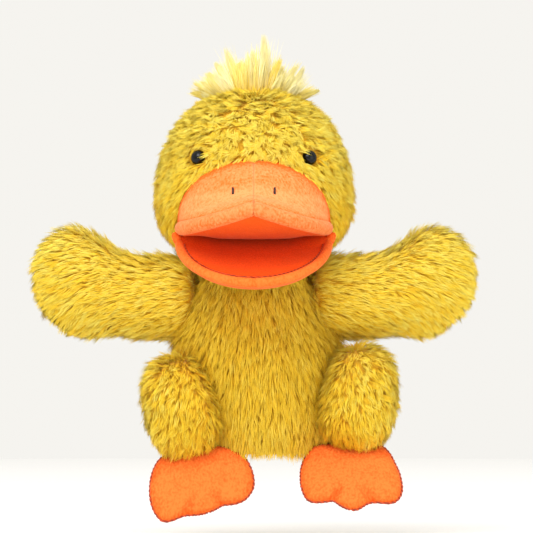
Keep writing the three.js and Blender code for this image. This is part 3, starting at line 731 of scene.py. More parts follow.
# ------------------------------------------------------------------ shapes
def head_form(directions, inset):
    """Points of the head's soft egg shape in the given directions."""
    n = HEAD_FULLNESS
    scale = (np.abs(directions) ** n).sum(-1, keepdims=True) ** (-1 / n)
    point = directions * scale
    rise = np.where(point[..., 2] > 0, HEAD_RISE, HEAD_DROP) - inset
    size = np.stack([np.full_like(rise, HEAD_HALF - inset), np.full_like(rise, HEAD_DEEP - inset), rise], -1)
    return HEAD_AT + point * size


def face_y(x, z):
    """Front of the head at a place given from its middle line."""
    rise = np.where(z > HEAD_AT[2], HEAD_RISE, HEAD_DROP)
    n = HEAD_FULLNESS
    used = np.abs(x / HEAD_HALF) ** n + np.abs((z - HEAD_AT[2]) / rise) ** n
    return HEAD_AT[1] - HEAD_DEEP * np.maximum(0, 1 - used) ** (1 / n)


def arch_height(x):
    """Top edge of the bill on the face, at a distance from the middle line."""
    across_share = np.clip(1 - (x / ARCH_HALF) ** 2, 0, 1) ** 0.5
    return ARCH_BASE + ARCH_RISE * across_share ** 0.75


def arch_point(turn):
    x = -ARCH_HALF * np.cos(turn)
    z = ARCH_BASE + ARCH_RISE * np.abs(np.sin(turn)) ** 0.75
    return np.stack([MIDDLE + x, face_y(x, z) - 1.6, z], -1)


def lip_point(turn):
    """Upper edge of the bill's lip."""
    z = LIP_BASE + LIP_PEAK * (1 - np.abs(np.cos(turn))) ** 1.35
    y = HINGE[1] - BILL_REACH * np.sin(turn)
    return np.stack([MIDDLE - BILL_HALF * np.cos(turn), y, z], -1)


def lip_centre(turn):
    return lip_point(turn) - np.array([0, 0, LIP_DROP])


def mouth_point(tilt, x, s, h):
    """A point given across the mouth, forward from its hinge and up from its plane."""
    c, k = math.cos(tilt), math.sin(tilt)
    return np.stack([MIDDLE + x, HINGE[1] - s * c + h * k, HINGE[2] + s * k + h * c], -1)


def rim_centre(turn):
    s = RIM_START + RIM_REACH * np.sin(turn)
    return mouth_point(-LOWER_TILT, -BILL_HALF * np.cos(turn), s, np.full_like(turn, RIM_HEIGHT))


def in_bill_space(points, margin=0.0):
    """True for the places on the face that the bill and mouth take."""
    x = np.abs(points[:, 0] - MIDDLE)
    front = points[:, 1] < HINGE[1] + 6
    return front & (x < ARCH_HALF + margin) & (points[:, 2] < arch_height(x - margin) + margin)


# ------------------------------------------------------------------ the head
def head_panel(first, last, columns, inset):
    """A panel of the head between two turns round its upright axis, from the neck to the crown."""
    rise = np.linspace(-0.86, QUARTER - 0.05, 44)[:, None]
    turn = np.linspace(first, last, columns)[None, :]
    directions = np.stack([np.sin(turn) * np.cos(rise), -np.cos(turn) * np.cos(rise),
                           np.sin(rise) + 0 * turn], -1)
    points = head_form(directions, inset)
    crown = smooth_step((points[..., 2] - HEAD_AT[2] - 30) / 40)
    points[..., 2] += 2.5 * crown
    return Surface(points, HEAD_AT)


def comb_head(roots, normals):
    """Down, back and outwards from the crown, and straighter down along the cheeks."""
    side = (roots[:, 0] - MIDDLE) / HEAD_HALF
    low = smooth_step((HEAD_AT[2] + 20 - roots[:, 2]) / 40)
    return np.stack([side * (0.9 - 0.5 * low), 0.25 + 0 * side, -1.0 + 0 * side], -1)


def forehead_swirl(roots):
    """Tufts turn most on the forehead and the crown, and lie straighter on the cheeks."""
    high = smooth_step((roots[:, 2] - (HEAD_AT[2] + 12)) / 26)
    return 0.20 + 0.42 * high


def lit_forehead_shaded_cheeks(roots):
    """Painted light: brighter on the forehead, which the light from above falls on, and painted shade deeper
    on the cheeks.
    """
    return 0.34 * smooth_step((roots[:, 2] - HEAD_AT[2] + 20) / 60) - 0.16


class PUPPET_OT_head(bpy.types.Operator):
    """Sew the head's three plush panels and comb their pile"""

    bl_idname = "puppet.head"
    bl_label = "Head"

    def execute(self, context):
        sizes = context.scene.puppet_pile
        eyes = context.scene.puppet_eyes
        sites = [(side, eye_site(eyes, side)[0]) for side in SIDES.values()]

        def keep(roots):
            clear = ~in_bill_space(roots, -1.8)
            clear &= np.linalg.norm(roots - NECK_AT, axis=1) > 36
            for side, site in sites:
                offset = (roots - site) / eyes.radius
                beside = (offset[:, 0] * side + 0.3) / 1.25
                above = (offset[:, 2] - 0.45) / 1.4
                clear &= beside ** 2 + above ** 2 + offset[:, 1] ** 2 / 4 > 1
            return clear

        seam = 1.72
        panels = {
            "left": (-seam, 0.0, 44, 1.7, 11, ["head_left_panel"]),
            "right": (0.0, seam, 44, 1.7, 12, ["head_right_panel"]),
            "back": (seam, 2 * math.pi - seam, 60, 1.0, 13, ["head_back_panel", "head_stuffing"]),
        }
        for name, (first, last, columns, thick, seed, nodes) in panels.items():
            surface = head_panel(first, last, columns, sizes.skin_depth - 1.6)
            surface.cut(lambda middles: in_bill_space(middles, -2.0))
            pile = cut_and_comb(sizes, sizes.head_length, 11, forehead_swirl, 58, 12, 0.14, thick,
                                tone=lit_forehead_shaded_cheeks)
            made = plush(f"head_{name}_plush", surface, pile, comb_head, keep, seed, sizes.backing)
            seat(made, "head", "long_pile_plush", *nodes, fill=0.8)
        return {"FINISHED"}


class PUPPET_OT_neck(bpy.types.Operator):
    """Sew the neck's plush band between the body and the head"""

    bl_idname = "puppet.neck"
    bl_label = "Neck"

    def execute(self, context):
        sizes = context.scene.puppet_pile
        low, high = box_mm("neck_panel")
        radius = (high[0] - low[0]) / 2 - 1.5
        z = np.linspace(low[2] + 1, high[2] - 2, 14)
        turn = np.linspace(0, 2 * math.pi, 60, endpoint=False)
        ring = np.sqrt(radius ** 2 - (z - NECK_AT[2]) ** 2)[:, None]
        points = np.stack([NECK_AT[0] + ring * np.sin(turn), NECK_AT[1] - ring * np.cos(turn),
                           z[:, None] + 0 * turn], -1)
        surface = Surface(points, NECK_AT, wrap=True)
        pile = cut_and_comb(sizes, sizes.body_length, 8, 0.2, 50, -5, 0.5)
        made = plush("neck_plush", surface, pile, lambda r, n: np.tile([0.0, 0.0, -1.0], (len(r), 1)),
                     lambda r: r[:, 2] < NECK_AT[2] + 9, 21, sizes.backing, "shaded_belly_pile")
        seat(made, "neck", "long_pile_plush", "neck_panel")
        return {"FINISHED"}


# ------------------------------------------------------------------ the body
def sleeve_rings():
    """Heights, middles and half sizes of the sleeve, measured on the frame's own panels."""
    points = []
    for node in ("body_front_panel", "body_back_panel"):
        points += [v.co[:] for v in frame["nodes"][node].data.vertices]
    points = np.array(points) / MM
    levels = np.unique(np.round(points[:, 2], 1))
    rows = []
    for level in levels:
        ring = points[np.abs(points[:, 2] - level) < 0.2]
        low, high = ring.min(0), ring.max(0)
        rows.append([level, (low[0] + high[0]) / 2, (high[0] - low[0]) / 2, (low[1] + high[1]) / 2,
                     (high[1] - low[1]) / 2])
    return np.array(rows)


def sleeve_wall(first, last, columns, inset, top):
    """Part of the sleeve between two turns round it, closing in at the top where it meets the neck."""
    rings = sleeve_rings()
    z = np.linspace(rings[0, 0] - 1.5, top, 48)
    sizes = [np.interp(z, rings[:, 0], rings[:, i]) for i in range(1, 5)]
    soft = np.ones(5) / 5
    for i, size in enumerate(sizes):
        sizes[i] = np.convolve(np.pad(size, 2, mode="edge"), soft, mode="valid")
    x, half, y, deep = (size[:, None] for size in sizes)
    close = 4.0 * smooth_step((z - rings[-1, 0] + 6) / (top - rings[-1, 0] + 6))[:, None]
    turn = np.linspace(first, last, columns)[None, :]
    belly = 3.0 * np.clip(np.cos(turn), 0, 1) ** 2 * np.sin(math.pi * np.clip((z[:, None] - 2) / 110, 0, 1))
    points = np.stack([x + np.sin(turn) * (half - inset - close),
                       y - np.cos(turn) * (deep - inset - close + belly), z[:, None] + 0 * turn], -1)
    return points, np.array([x.mean(), y.mean(), z.mean()])


def comb_down(roots, normals):
    """Straight down, a little outwards."""
    return np.tile([0.0, 0.0, -1.0], (len(roots), 1)) + 0.05 * normals


class PUPPET_OT_body(bpy.types.Operator):
    """Sew the body's front and back plush panels, the hem binding and the sleeve's lining"""

    bl_idname = "puppet.body"
    bl_label = "Body and sleeve"

    def execute(self, context):
        sizes = context.scene.puppet_pile
        # Painted shade: the pile deepens up the chest, under the head, and is paler low on the belly.
        pile = cut_and_comb(sizes, sizes.body_length, 7, 0.13, 46, 8, 0.2, thick=1.1, fine=0.9,
                            tone=lambda roots: 0.16 * smooth_step((46 - roots[:, 2]) / 30),
                            trim=lambda roots: 0.72 + 0.28 * smooth_step((roots[:, 2] - 4) / 14))
        top = pivot_mm("neck_turn")[2] + 12
        for name, first, last, seed in (("front", -QUARTER, QUARTER, 31), ("back", QUARTER, 3 * QUARTER, 32)):
            points, inside = sleeve_wall(first, last, 72, sizes.skin_depth, top)
            surface = Surface(points, inside)
            made = plush(f"body_{name}_plush", surface, pile, comb_down, lambda r: r[:, 2] > 3, seed,
                         sizes.backing, "shaded_belly_pile")
            seat(made, "sleeve", "long_pile_plush", f"body_{name}_panel")
        self.line()
        self.bind()
        return {"FINISHED"}

    def line(self):
        """The tricot tube that the hand goes through, gathered into soft pleats."""
        low, high = box_mm("sleeve_lining")
        points, inside = sleeve_wall(0, 2 * math.pi, 97, 6.0, high[2] + 3)
        folds = 0.8 * np.sin(np.linspace(0, 2 * math.pi, 97) * 14)[None, :, None]
        outward = unit((points - inside) * [1, 1, 0])
        surface = Surface((points + outward * folds)[:, :-1], inside, wrap=True)
        lining = cloth_piece("sleeve_lining_cloth", surface, "lining", 0.8)
        seat(lining, "sleeve", "yellow_lining_cloth", "sleeve_lining")

    def bind(self):
        """The bound edge round the opening, ribbed by its stitches."""
        low, high = box_mm("hem_binding")
        turn = np.linspace(0, 2 * math.pi, 121)[:-1]
        middle = (low + high) / 2
        half = (high - low) / 2 - 3.4
        stitches = 0.18 * np.sin(turn * 60)
        section = np.linspace(0, 2 * math.pi, 13)[:-1]
        rows = []
        for a in section:
            reach = 2.2 * np.cos(a) + stitches
            rows.append(np.stack([middle[0] + np.sin(turn) * (half[0] + reach),
                                  middle[1] - np.cos(turn) * (half[1] + reach),
                                  middle[2] + 0.4 + 1.9 * np.sin(a) + 0 * turn], -1))
        points = np.swapaxes(np.array(rows + rows[:1]), 0, 1)
        ring = np.concatenate([points, points[:1]])
        surface = Surface(ring[:, :-1], middle, wrap=True)
        flat = surface.points[:-1].reshape(-1, 3)
        quads = surface.quads % len(flat)
        facing = surface.normals[:-1].reshape(-1, 3)
        outward = flat - np.repeat(flat.reshape(len(turn), -1, 3).mean(1), len(section), axis=0)
        if np.sum(facing * outward) < 0:
            quads = quads[:, ::-1]
        hem = mesh_piece("hem_bound_edge", flat, [(quads, "lining", None)])
        seat(hem, "sleeve", "yellow_lining_cloth", "hem_binding")


# ------------------------------------------------------------------ the wings
def wing_form(side, inset):
    """A wing's mitten shape: slim and tall at the shoulder, full and lifted at its round end."""
    name = "left" if side < 0 else "right"
    pivot = pivot_mm(f"wing_{name}_flap")
    low, high = box_mm(f"wing_{name}_cover")
    reach = (pivot[0] - low[0]) if side < 0 else (high[0] - pivot[0])
    root = -36.0  # inside the body, so that no gap shows when the wing is raised
    middle, half = (reach + root) / 2, (reach - root) / 2
    angle = np.linspace(0.0, math.pi, 56)
    t = -np.cos(angle)[:, None]
    out = middle + (half - inset * 0.8) * t
    outer = np.sin(angle)[:, None] ** 0.75
    inner = np.sqrt(np.clip(1 - t ** 24, 0, 1))
    full = np.where(t < 0, inner, outer)
    grown = smooth_step((out - 15) / 37)
    high_half = (29 + 12 * grown - inset) * full
    deep_half = (23 + 2 * grown - inset) * full
    lift = 15 * smooth_step(out / 72)
    around = np.linspace(0, 2 * math.pi, 56, endpoint=False)[None, :]
    points = np.stack([pivot[0] + side * out + 0 * around, pivot[1] + np.cos(around) * deep_half,
                       pivot[2] + lift + np.sin(around) * high_half], -1)
    return Surface(points, points.mean((0, 1)), wrap=True, poles=(True, True)), pivot


class PUPPET_OT_wings(bpy.types.Operator):
    """Sew and stuff the two wings and comb their pile outwards and down"""

    bl_idname = "puppet.wings"
    bl_label = "Wings"

    def execute(self, context):
        sizes = context.scene.puppet_pile
        for seed, (name, side) in enumerate(SIDES.items(), 41):
            surface, pivot = wing_form(side, sizes.skin_depth)

            def comb(roots, normals, side=side, pivot=pivot):
                out = smooth_step((roots[:, 0] - pivot[0]) * side / 60)
                low = smooth_step((pivot[2] + 18 - roots[:, 2]) / 60)
                down = -0.18 - 0.9 * low * out - 0.25 * out
                return np.stack([side * (1.0 - 0.55 * low * out), 0 * out, down], -1)

            # Painted light: the wings' pile is paler all over and palest at their tops, where light falls from
            # above.
            pile = cut_and_comb(sizes, sizes.wing_length, 7, 0.14, 46, 10, 0.3,
                                tone=lambda r, p=pivot: 0.10 * smooth_step((r[:, 2] - p[2]) / 40) + 0.08)

            def keep(roots, side=side, pivot=pivot):
                return (roots[:, 0] - pivot[0]) * side > -34

            made = plush(f"wing_{name}_plush", surface, pile, comb, keep, seed)
            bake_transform(made)
            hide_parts(f"wing_{name}_cover", f"wing_{name}_stuffing")
        return {"FINISHED"}


# ------------------------------------------------------------------ the legs and feet
LEGS = {
    "left": {"x": -59.0, "z": 33.5, "half": 33.0, "lean": 16.0, "seed": 51},
    "right": {"x": 61.0, "z": 39.5, "half": 34.0, "lean": -9.0, "seed": 52},
}
LEG_SIZE = {"y": -23.0, "half_width": 24.0, "half_depth": 26.0, "fullness": 2.9}


def leg_form(leg, inset):
    """A stuffed leg: a tall soft block, a little narrower at its top, leaning outwards from the hem."""
    rise = np.linspace(-QUARTER, QUARTER, 44)[:, None]
    turn = np.linspace(0, 2 * math.pi, 52, endpoint=False)[None, :]
    d = np.stack([np.sin(turn) * np.cos(rise), -np.cos(turn) * np.cos(rise), np.sin(rise) + 0 * turn], -1)
    n = LEG_SIZE["fullness"]
    d = d * (np.abs(d) ** n).sum(-1, keepdims=True) ** (-1 / n)
    narrow = 0.82 + 0.18 * np.clip((1 - d[..., 2]) * 0.9, 0, 1)
    x = d[..., 0] * (LEG_SIZE["half_width"] - inset) * narrow
    y = d[..., 1] * (LEG_SIZE["half_depth"] - inset) * narrow
    z = d[..., 2] * (leg["half"] - inset)
    lean = math.radians(leg["lean"])
    points = np.stack([leg["x"] + x * math.cos(lean) - z * math.sin(lean), LEG_SIZE["y"] + y,
                       leg["z"] + x * math.sin(lean) + z * math.cos(lean)], -1)
    return Surface(points, points.mean((0, 1)), wrap=True, poles=(True, True))


def leg_tone(roots):
    """Deeper gold towards the body, a painted shade between the legs and the body, paler outside, with a
    mottled patch low on the right leg.
    """
    out = np.abs(roots[:, 0] - MIDDLE) - 50
    tone = 0.22 * smooth_step((out + 12) / 40) - 0.16
    patch = bell(roots[:, 0], 50, 13) * bell(roots[:, 2], 16, 13)
    return tone - 0.5 * patch


class PUPPET_OT_legs(bpy.types.Operator):
    """Sew and stuff the two plush legs"""

    bl_idname = "puppet.legs"
    bl_label = "Legs"

    def execute(self, context):
        sizes = context.scene.puppet_pile
        for name, leg in LEGS.items():
            surface = leg_form(leg, sizes.skin_depth - 2.0)

            def comb(roots, normals, side=SIDES[name]):
                return np.tile([side * 0.18, 0.0, -1.0], (len(roots), 1))

            pile = cut_and_comb(sizes, sizes.leg_length, 8, 0.3, 52, 12, 0.3, thick=1.1, tone=leg_tone)
            made = plush(f"leg_{name}_plush", surface, pile, comb, None, leg["seed"])
            nodes = [f"leg_{name}_cover", f"leg_{name}_stuffing"]
            seat(made, f"leg_{name}", "long_pile_plush", *nodes, fill=0.75)
        return {"FINISHED"}


FOOT_TILT = {"left": 24.0, "right": 38.0}
FOOT_HALF = 8.0
FOOT_MIDDLE = -12.0
FOOT_SHIFT = {"left": np.array([-3.0, 0.0, 2.0]), "right": np.array([0.0, 0.0, 2.0])}
# Three round toes: reach from the foot's middle at each angle from the ankle, in degrees.
FOOT_OUTLINES = {
    "left": [(-180, 21), (-165, 22), (-150, 23.5), (-138, 26), (-126, 38), (-110, 37.5), (-82, 35), (-46, 34),
             (-20, 27), (6, 24.7), (35, 28), (62, 32.6), (85, 33.5), (108, 34.4), (126, 31), (150, 20.5),
             (165, 20.5), (180, 21)],
    "right": [(-180, 28), (-165, 25), (-151, 21.6), (-138, 27), (-125, 33.5), (-110, 32.5), (-89, 31.4),
              (-65, 32), (-43, 34), (-20, 28), (0, 25.4), (25, 28), (49, 32.8), (78, 32), (100, 35), (118, 39),
              (131, 39), (143, 28.5), (155, 26), (173, 29), (180, 28)],
}
TOE_VALLEYS = {"left": (-143.0, 152.0), "right": (-151.0, 147.0)}


def foot_outline(name, turn):
    """Reach of the webbed foot's edge at an angle from the ankle, rounded between its listed points."""
    angles, reaches = np.array(FOOT_OUTLINES[name], float).T
    fine = np.arange(-360, 361)
    rough = np.interp(np.mod(fine + 180, 360) - 180, angles, reaches)
    bell = np.exp(-(np.arange(-15, 16) / 5.5) ** 2)
    rounded = np.convolve(rough, bell / bell.sum(), mode="same")
    return np.interp(np.degrees(turn), fine, rounded)


def foot_axes(name):
    """A foot's own directions: across it, through it and up it."""
    axis = np.array(joint_named(f"ankle_{name}_flex")["axis"], float)
    wide = -axis if axis[0] < 0 else axis
    level = np.array([0.0, 1.0, 0.0])
    upright = np.cross(wide, level)
    tilt = math.radians(FOOT_TILT[name])
    through = level * math.cos(tilt) - upright * math.sin(tilt)
    tall = level * math.sin(tilt) + upright * math.cos(tilt)
    return wide, through, tall


def foot_origin(name):
    return pivot_mm(f"ankle_{name}_flex") + FOOT_SHIFT[name]


def foot_place(name, x, y, z):
    """A point given across, through and up a foot, from its ankle."""
    wide, through, tall = foot_axes(name)
    return foot_origin(name) + x[..., None] * wide + y[..., None] * through + z[..., None] * tall


def foot_local(name, points):
    """Points as seen from a foot's ankle, with their turn and reach round the foot's middle."""
    place = np.stack([(points - foot_origin(name)) @ axis for axis in foot_axes(name)], -1)
    up = place[:, 2] - FOOT_MIDDLE
    return place, np.arctan2(place[:, 0], up), np.hypot(place[:, 0], up)


def foot_pillow(name, inset, half):
    """The foot's cover, lying flat enough to be filled: two faces that meet at the seam."""
    rise = np.linspace(-QUARTER, QUARTER, 33)[:, None]
    turn = np.linspace(-math.pi, math.pi, 96, endpoint=False)[None, :]
    spread = np.cos(rise) ** 0.55
    reach = (foot_outline(name, turn) - inset) * spread
    thick = half * np.sign(np.sin(rise)) * np.abs(np.sin(rise)) ** 0.9 + 0 * turn
    points = foot_place(name, reach * np.sin(turn), thick, FOOT_MIDDLE + reach * np.cos(turn))
    return Surface(points, points.mean((0, 1)), wrap=True, poles=(True, True))


def read_points(mesh):
    points = np.empty(len(mesh.vertices) * 3, np.float32)
    mesh.vertices.foreach_get("co", points)
    return points.reshape(-1, 3).astype(float)


def write_points(mesh, points):
    mesh.vertices.foreach_set("co", np.asarray(points, np.float32).ravel())
    mesh.update()


def apply_modifier(piece, modifier):
    """Replaces a piece's mesh with what its modifier makes of it."""
    graph = bpy.context.evaluated_depsgraph_get()
    made = bpy.data.meshes.new_from_object(piece.evaluated_get(graph))
    piece.modifiers.remove(modifier)
    old = piece.data
    piece.data = made
    bpy.data.meshes.remove(old)


def fill_cover(piece, voxel_mm, pressure, cap_mm, held):
    """Fills a sewn cover by cloth simulation. The seam, which held finds, stays where it is sewn, and
    no point moves further than cap_mm."""
    remesh = piece.modifiers.new("Remesh", "REMESH")
    remesh.mode = "VOXEL"
    remesh.voxel_size = voxel_mm * MM
    remesh.use_smooth_shade = True
    apply_modifier(piece, remesh)
    before = read_points(piece.data)
    seam = piece.vertex_groups.new(name="seam")
    seam.add([int(i) for i in np.nonzero(held(before / MM))[0]], 1.0, "REPLACE")
    cloth = piece.modifiers.new("Cloth", "CLOTH")
    cloth.settings.vertex_group_mass = "seam"
    cloth.settings.use_pressure = True
    cloth.settings.uniform_pressure_force = pressure
    cloth.settings.tension_stiffness = 8
    cloth.settings.bending_stiffness = 0.2
    cloth.settings.effector_weights.gravity = 0
    scene = bpy.context.scene
    for number in range(1, 21):
        scene.frame_set(number)
    graph = bpy.context.evaluated_depsgraph_get()
    after = read_points(piece.evaluated_get(graph).data)
    move = after - before
    far = np.linalg.norm(move, axis=1, keepdims=True)
    limit = cap_mm * MM
    move = move * np.where(far > limit, limit / np.maximum(far, 1e-12), 1.0)
    piece.modifiers.remove(cloth)
    scene.frame_set(1)
    write_points(piece.data, before + np.nan_to_num(move))
    finer = piece.modifiers.new("Subdivision", "SUBSURF")
    finer.levels = 1
    apply_modifier(piece, finer)


class PUPPET_OT_feet(bpy.types.Operator):
    """Sew the two webbed feet, fill them and draw in the creases between the toes"""

    bl_idname = "puppet.feet"
    bl_label = "Feet"

    def execute(self, context):
        for name in SIDES:
            made = cloth_piece(f"foot_{name}_velboa", foot_pillow(name, -0.8, 5.6), "foot")

            def edge(points, name=name):
                _, turn, reach = foot_local(name, points)
                return reach > foot_outline(name, turn) - 2.2

            fill_cover(made, voxel_mm=2.0, pressure=4.0, cap_mm=3.0, held=edge)
            self.sew(made, name)
            seam = self.seam(name)
            nodes = [f"foot_{name}_{part}" for part in ("upper", "sole", "stuffing")]
            seat(made, f"foot_{name}", "orange_velboa", *nodes, fill=0.8)
            seat(seam, f"foot_{name}", "orange_velboa")
        return {"FINISHED"}

    def sew(self, piece, name):
        """Pulls the cover in along the two creases between the toes. It paints shade into the creases and
        towards the ankle, under the leg, and darkens the cover towards its edge.
        """
        place, turn, reach = foot_local(name, read_points(piece.data) / MM)
        reach = reach / foot_outline(name, turn)
        away = np.min([np.abs(turn - math.radians(valley)) for valley in TOE_VALLEYS[name]], axis=0)
        crease = bell(away * reach * 24, 0, 2.4) * smooth_step((reach - 0.35) / 0.5)
        moved = foot_place(name, place[:, 0], place[:, 1] * (1 - 0.55 * crease), place[:, 2])
        write_points(piece.data, moved * MM)
        # Painted shade in the creases and towards the ankle; darker towards the edge.
        shade = 0.45 * crease + 0.35 * smooth_step((reach - 0.82) / 0.2)
        shade += 0.25 * smooth_step((place[:, 2] + 6) / 8)
        values = piece.data.attributes.get("shade") or piece.data.attributes.new("shade", "FLOAT", "POINT")
        values.data.foreach_set("value", shade.astype(np.float32))

    def seam(self, name):
        """The sewn edge between the foot's upper and its sole."""
        turn = np.linspace(-math.pi, math.pi, 193)
        reach = foot_outline(name, turn) + 0.6 + 0.25 * np.sin(turn * 70)
        path = foot_place(name, reach * np.sin(turn), 0 * turn, FOOT_MIDDLE + reach * np.cos(turn))
        return cloth_piece(f"foot_{name}_seam", roll(path, np.full(len(path), 0.75), 8), "seam")


# ------------------------------------------------------------------ the bill and the mouth
def bill_surface(first, last, columns, crease):
    """Half of the bill's skin: full at the forehead, creased at the nostrils, flat towards the lip."""
    turn = np.linspace(first, last, columns)[None, :]
    t = np.linspace(-0.05, 1.0, 40)[:, None]
    top, lip = arch_point(turn), lip_point(turn)
    points = top + (lip - top) * np.clip(t, 0, 1)[..., None]
    wide = np.abs(np.sin(turn)) ** 1.3
    aside = (turn - QUARTER) * BILL_HALF
    dip = crease * wide * bell(t, 0.62, 0.2)
    puff = 2.2 * wide * bell(t, 0.25, 0.2)
    sunk = 4.0 * np.clip(-t / 0.05, 0, 1) ** 2 + 3.4 * (1 - smooth_step(t / 0.16))
    seam = 0.8 * bell(aside, 0, 1.3)
    points[..., 2] += puff - dip - seam
    points[..., 1] += sunk - 0.6 * puff
    shade = bill_shade(t, wide, aside, np.linalg.norm(lip - top, axis=-1))
    return Surface(points, HEAD_AT + [0, 0, -40]), shade


def bill_shade(t, wide, aside, reach):
    """How deep the bill's colour is: a deep orange band of painted shadow under the fur's edge, a soft bar of
    painted shade above the nostrils, painted shade above a paler shelf in front with a painted highlight
    along its edge, a light middle seam with dark stitches, deeper towards the sides, and painted shade
    towards the lip and in a deeper line along it."""
    fur_edge_shadow = 1.1 * bell(reach * np.clip(t, 0, 1), 0, 5 + 4.5 * wide)
    crease_shade = 0.22 * bell(t, 0.42, 0.12) * wide
    seam = bell(aside, 0, 0.8)
    stitches = 0.5 * seam * (np.sin(t * 110) > 0.3) * smooth_step((t - 0.3) / 0.2)
    shelf = 0.54 * wide ** 0.45
    shelf_shade_and_highlight = 0.22 * (1 - smooth_step((t - shelf + 0.12) / 0.16)) - 0.2 * bell(t, shelf + 0.04, 0.04)
    front = 0.25 * (1 - wide) + 0.3 * smooth_step((t - 0.7) / 0.3) + 0.5 * bell(t, 1, 0.05)
    return fur_edge_shadow + crease_shade - 0.6 * seam + stitches + shelf_shade_and_highlight + front


class PUPPET_OT_upper_bill(bpy.types.Operator):
    """Sew the two halves of the upper bill, its padded lip and its nostril stitches"""

    bl_idname = "puppet.upper_bill"
    bl_label = "Upper bill"

    def execute(self, context):
        sizes = context.scene.puppet_bill
        halves = {"left": (0.04, QUARTER - 0.0003), "right": (QUARTER + 0.0003, math.pi - 0.04)}
        for name, (first, last) in halves.items():
            surface, shade = bill_surface(first, last, 60, sizes.crease)
            made = cloth_piece(f"upper_bill_{name}_velboa", surface, "bill", sizes.skin, shade)
            wadding = ["upper_bill_wadding"] if name == "left" else []
            seat(made, "head", "orange_velboa", f"upper_bill_cover_{name}", *wadding, fill=0.7)
            self.lip(name, sizes)
            self.nostril(name, surface)
        return {"FINISHED"}

    def lip(self, name, sizes):
        """Half of the lip roll: a round end at the mouth's corner and a flat one at the middle seam."""
        count, past = 80, 6.0
        turn = np.linspace(-0.02, QUARTER, 60)
        path = lip_centre(turn)
        path[:, 0] += 1.6 * np.exp(-turn / 0.35)
        end = path[-1] + unit(path[-1] - path[-3]) * past
        path, length = even_path(np.concatenate([path, end[None]]), count)
        place = np.linspace(0, length, count)
        middle = length - past
        radius = end_taper(count, length, sizes.lip_radius, 1.0, 0.02) * (1 - 0.10 * bell(place, middle, 1.2))
        surface = roll(path, radius, 28)
        surface.points[..., 0] = np.minimum(surface.points[..., 0], MIDDLE - 0.03)
        if name == "right":
            for points in (surface.points, path):
                points[..., 0] = 2 * MIDDLE - points[..., 0]
            surface.quads = surface.quads[:, ::-1]
        # Painted shade deepens the roll's underside and leaves its top paler; the roll is also paler at its
        # two ends.
        ends = 0.25 * bell(place, middle - 1.5, 1.5) + 0.3 * bell(place, 0, 7)
        rise = surface.points[..., 2] - path[:, None, 2]
        shade = 0.1 + 0.35 * smooth_step(0.6 - rise / (2 * sizes.lip_radius)) - ends[:, None]
        made = cloth_piece(f"upper_lip_{name}_velboa", surface, "lip", None, shade)
        seat(made, "head", "orange_velboa", f"upper_lip_{name}", fill=0.8)

    def nostril(self, name, surface):
        """Two strands of thick thread, drawn tight into the bill."""
        low, high = box_mm(f"nostril_stitch_{name}")
        x = (low[0] + high[0]) / 2
        flat = surface.points.reshape(-1, 3)
        z = np.linspace(HINGE[2] + 28.8, HINGE[2] + 34.1, 9)
        path = flat[nearest(np.stack([x + 0 * z, z], -1), flat[:, [0, 2]])]
        path[:, 0] = x
        path[:, 1] = np.convolve(np.pad(path[:, 1], 1, mode="edge"), np.ones(3) / 3, mode="valid")
        path[:, 2] = z
        bow = np.sin(np.linspace(0, math.pi, 9))
        path[:, 1] -= 0.9 * bow - 0.3
        strands = []
        for offset in (-0.32, 0.32):
            strand = even_path(path + [offset, 0, 0], 17)[0]
            strands.append(roll(strand, end_taper(17, 5.5, 0.5), 10).closed())
        (near, near_faces), (far, far_faces) = strands
        faces = near_faces + [face + len(near) for face in far_faces]
        made = mesh_piece(f"nostril_{name}_thread", np.concatenate([near, far]),
                          [(face, "nostril", None) for face in faces])
        seat(made, "head", "brown_thread", f"nostril_stitch_{name}")


def lining_surface(plane_tilt, edge, bulge):
    """A mouth lining from the hinge line to its padded edge, lying along its board in between."""
    turn = np.linspace(0.02, math.pi - 0.02, 72)[None, :]
    q = np.linspace(0, 1, 30)[:, None]
    rim = edge(turn + 0 * q)
    x = rim[..., 0] - MIDDLE
    s = q * (BILL_REACH - 4) * np.sin(turn)
    raised = 3.0 * smooth_step((np.abs(x) - 22) / 22) * (1 - smooth_step(q / 0.5))
    flat = mouth_point(plane_tilt, x * (1 - 0.05 * (1 - q) * np.sin(turn)), s, bulge(x, q))
    flat[..., 2] += raised
    share = smooth_step((q - 0.8) / 0.2)[..., None]
    side = smooth_step((0.35 - np.sin(turn)) / 0.3)[..., None] * np.sqrt(q)[..., None]
    share = np.maximum(share, side)
    return flat + (rim - flat) * share, q + 0 * turn


def palate_bulge(x, q):
    """The palate's padding hangs down a little in the middle."""
    return -4.5 * np.sin(math.pi * np.minimum(1, q ** 0.8)) * (1 - (x / 52) ** 2)


def floor_bulge(x, q):
    """The floor lies nearly flat on its board."""
    return -0.4 * np.sin(math.pi * q) + 0 * x


class PUPPET_OT_mouth(bpy.types.Operator):
    """Line the mouth: the palate above and the floor below, which meet at the hinge line"""

    bl_idname = "puppet.mouth"
    bl_label = "Mouth lining"

    def execute(self, context):
        linings = {
            "palate_velour": (UPPER_TILT, lip_centre, palate_bulge, "palate", "head", "palate_lining", 0.25),
            "mouth_floor_velour": (-LOWER_TILT, rim_centre, floor_bulge, "floor", "lower_jaw",
                                   "mouth_floor_lining", 0.35),
        }
        for name, (tilt, edge, bulge, material, body, node, depth) in linings.items():
            points, q = lining_surface(tilt, edge, bulge)
            inside = HINGE + ([0, -30, 200] if body == "head" else [0, -30, -200])
            # Painted shade: deep in the mouth towards the hinge, and in a line along the edge where the palate
            # meets the lip and the floor meets the rim.
            shade = depth * np.exp(-q / 0.3) + 0.3 * bell(q, 1, 0.06)
            made = cloth_piece(name, Surface(points, inside), material, 0.8, shade)
            seat(made, body, "mouth_felt", node)
        return {"FINISHED"}


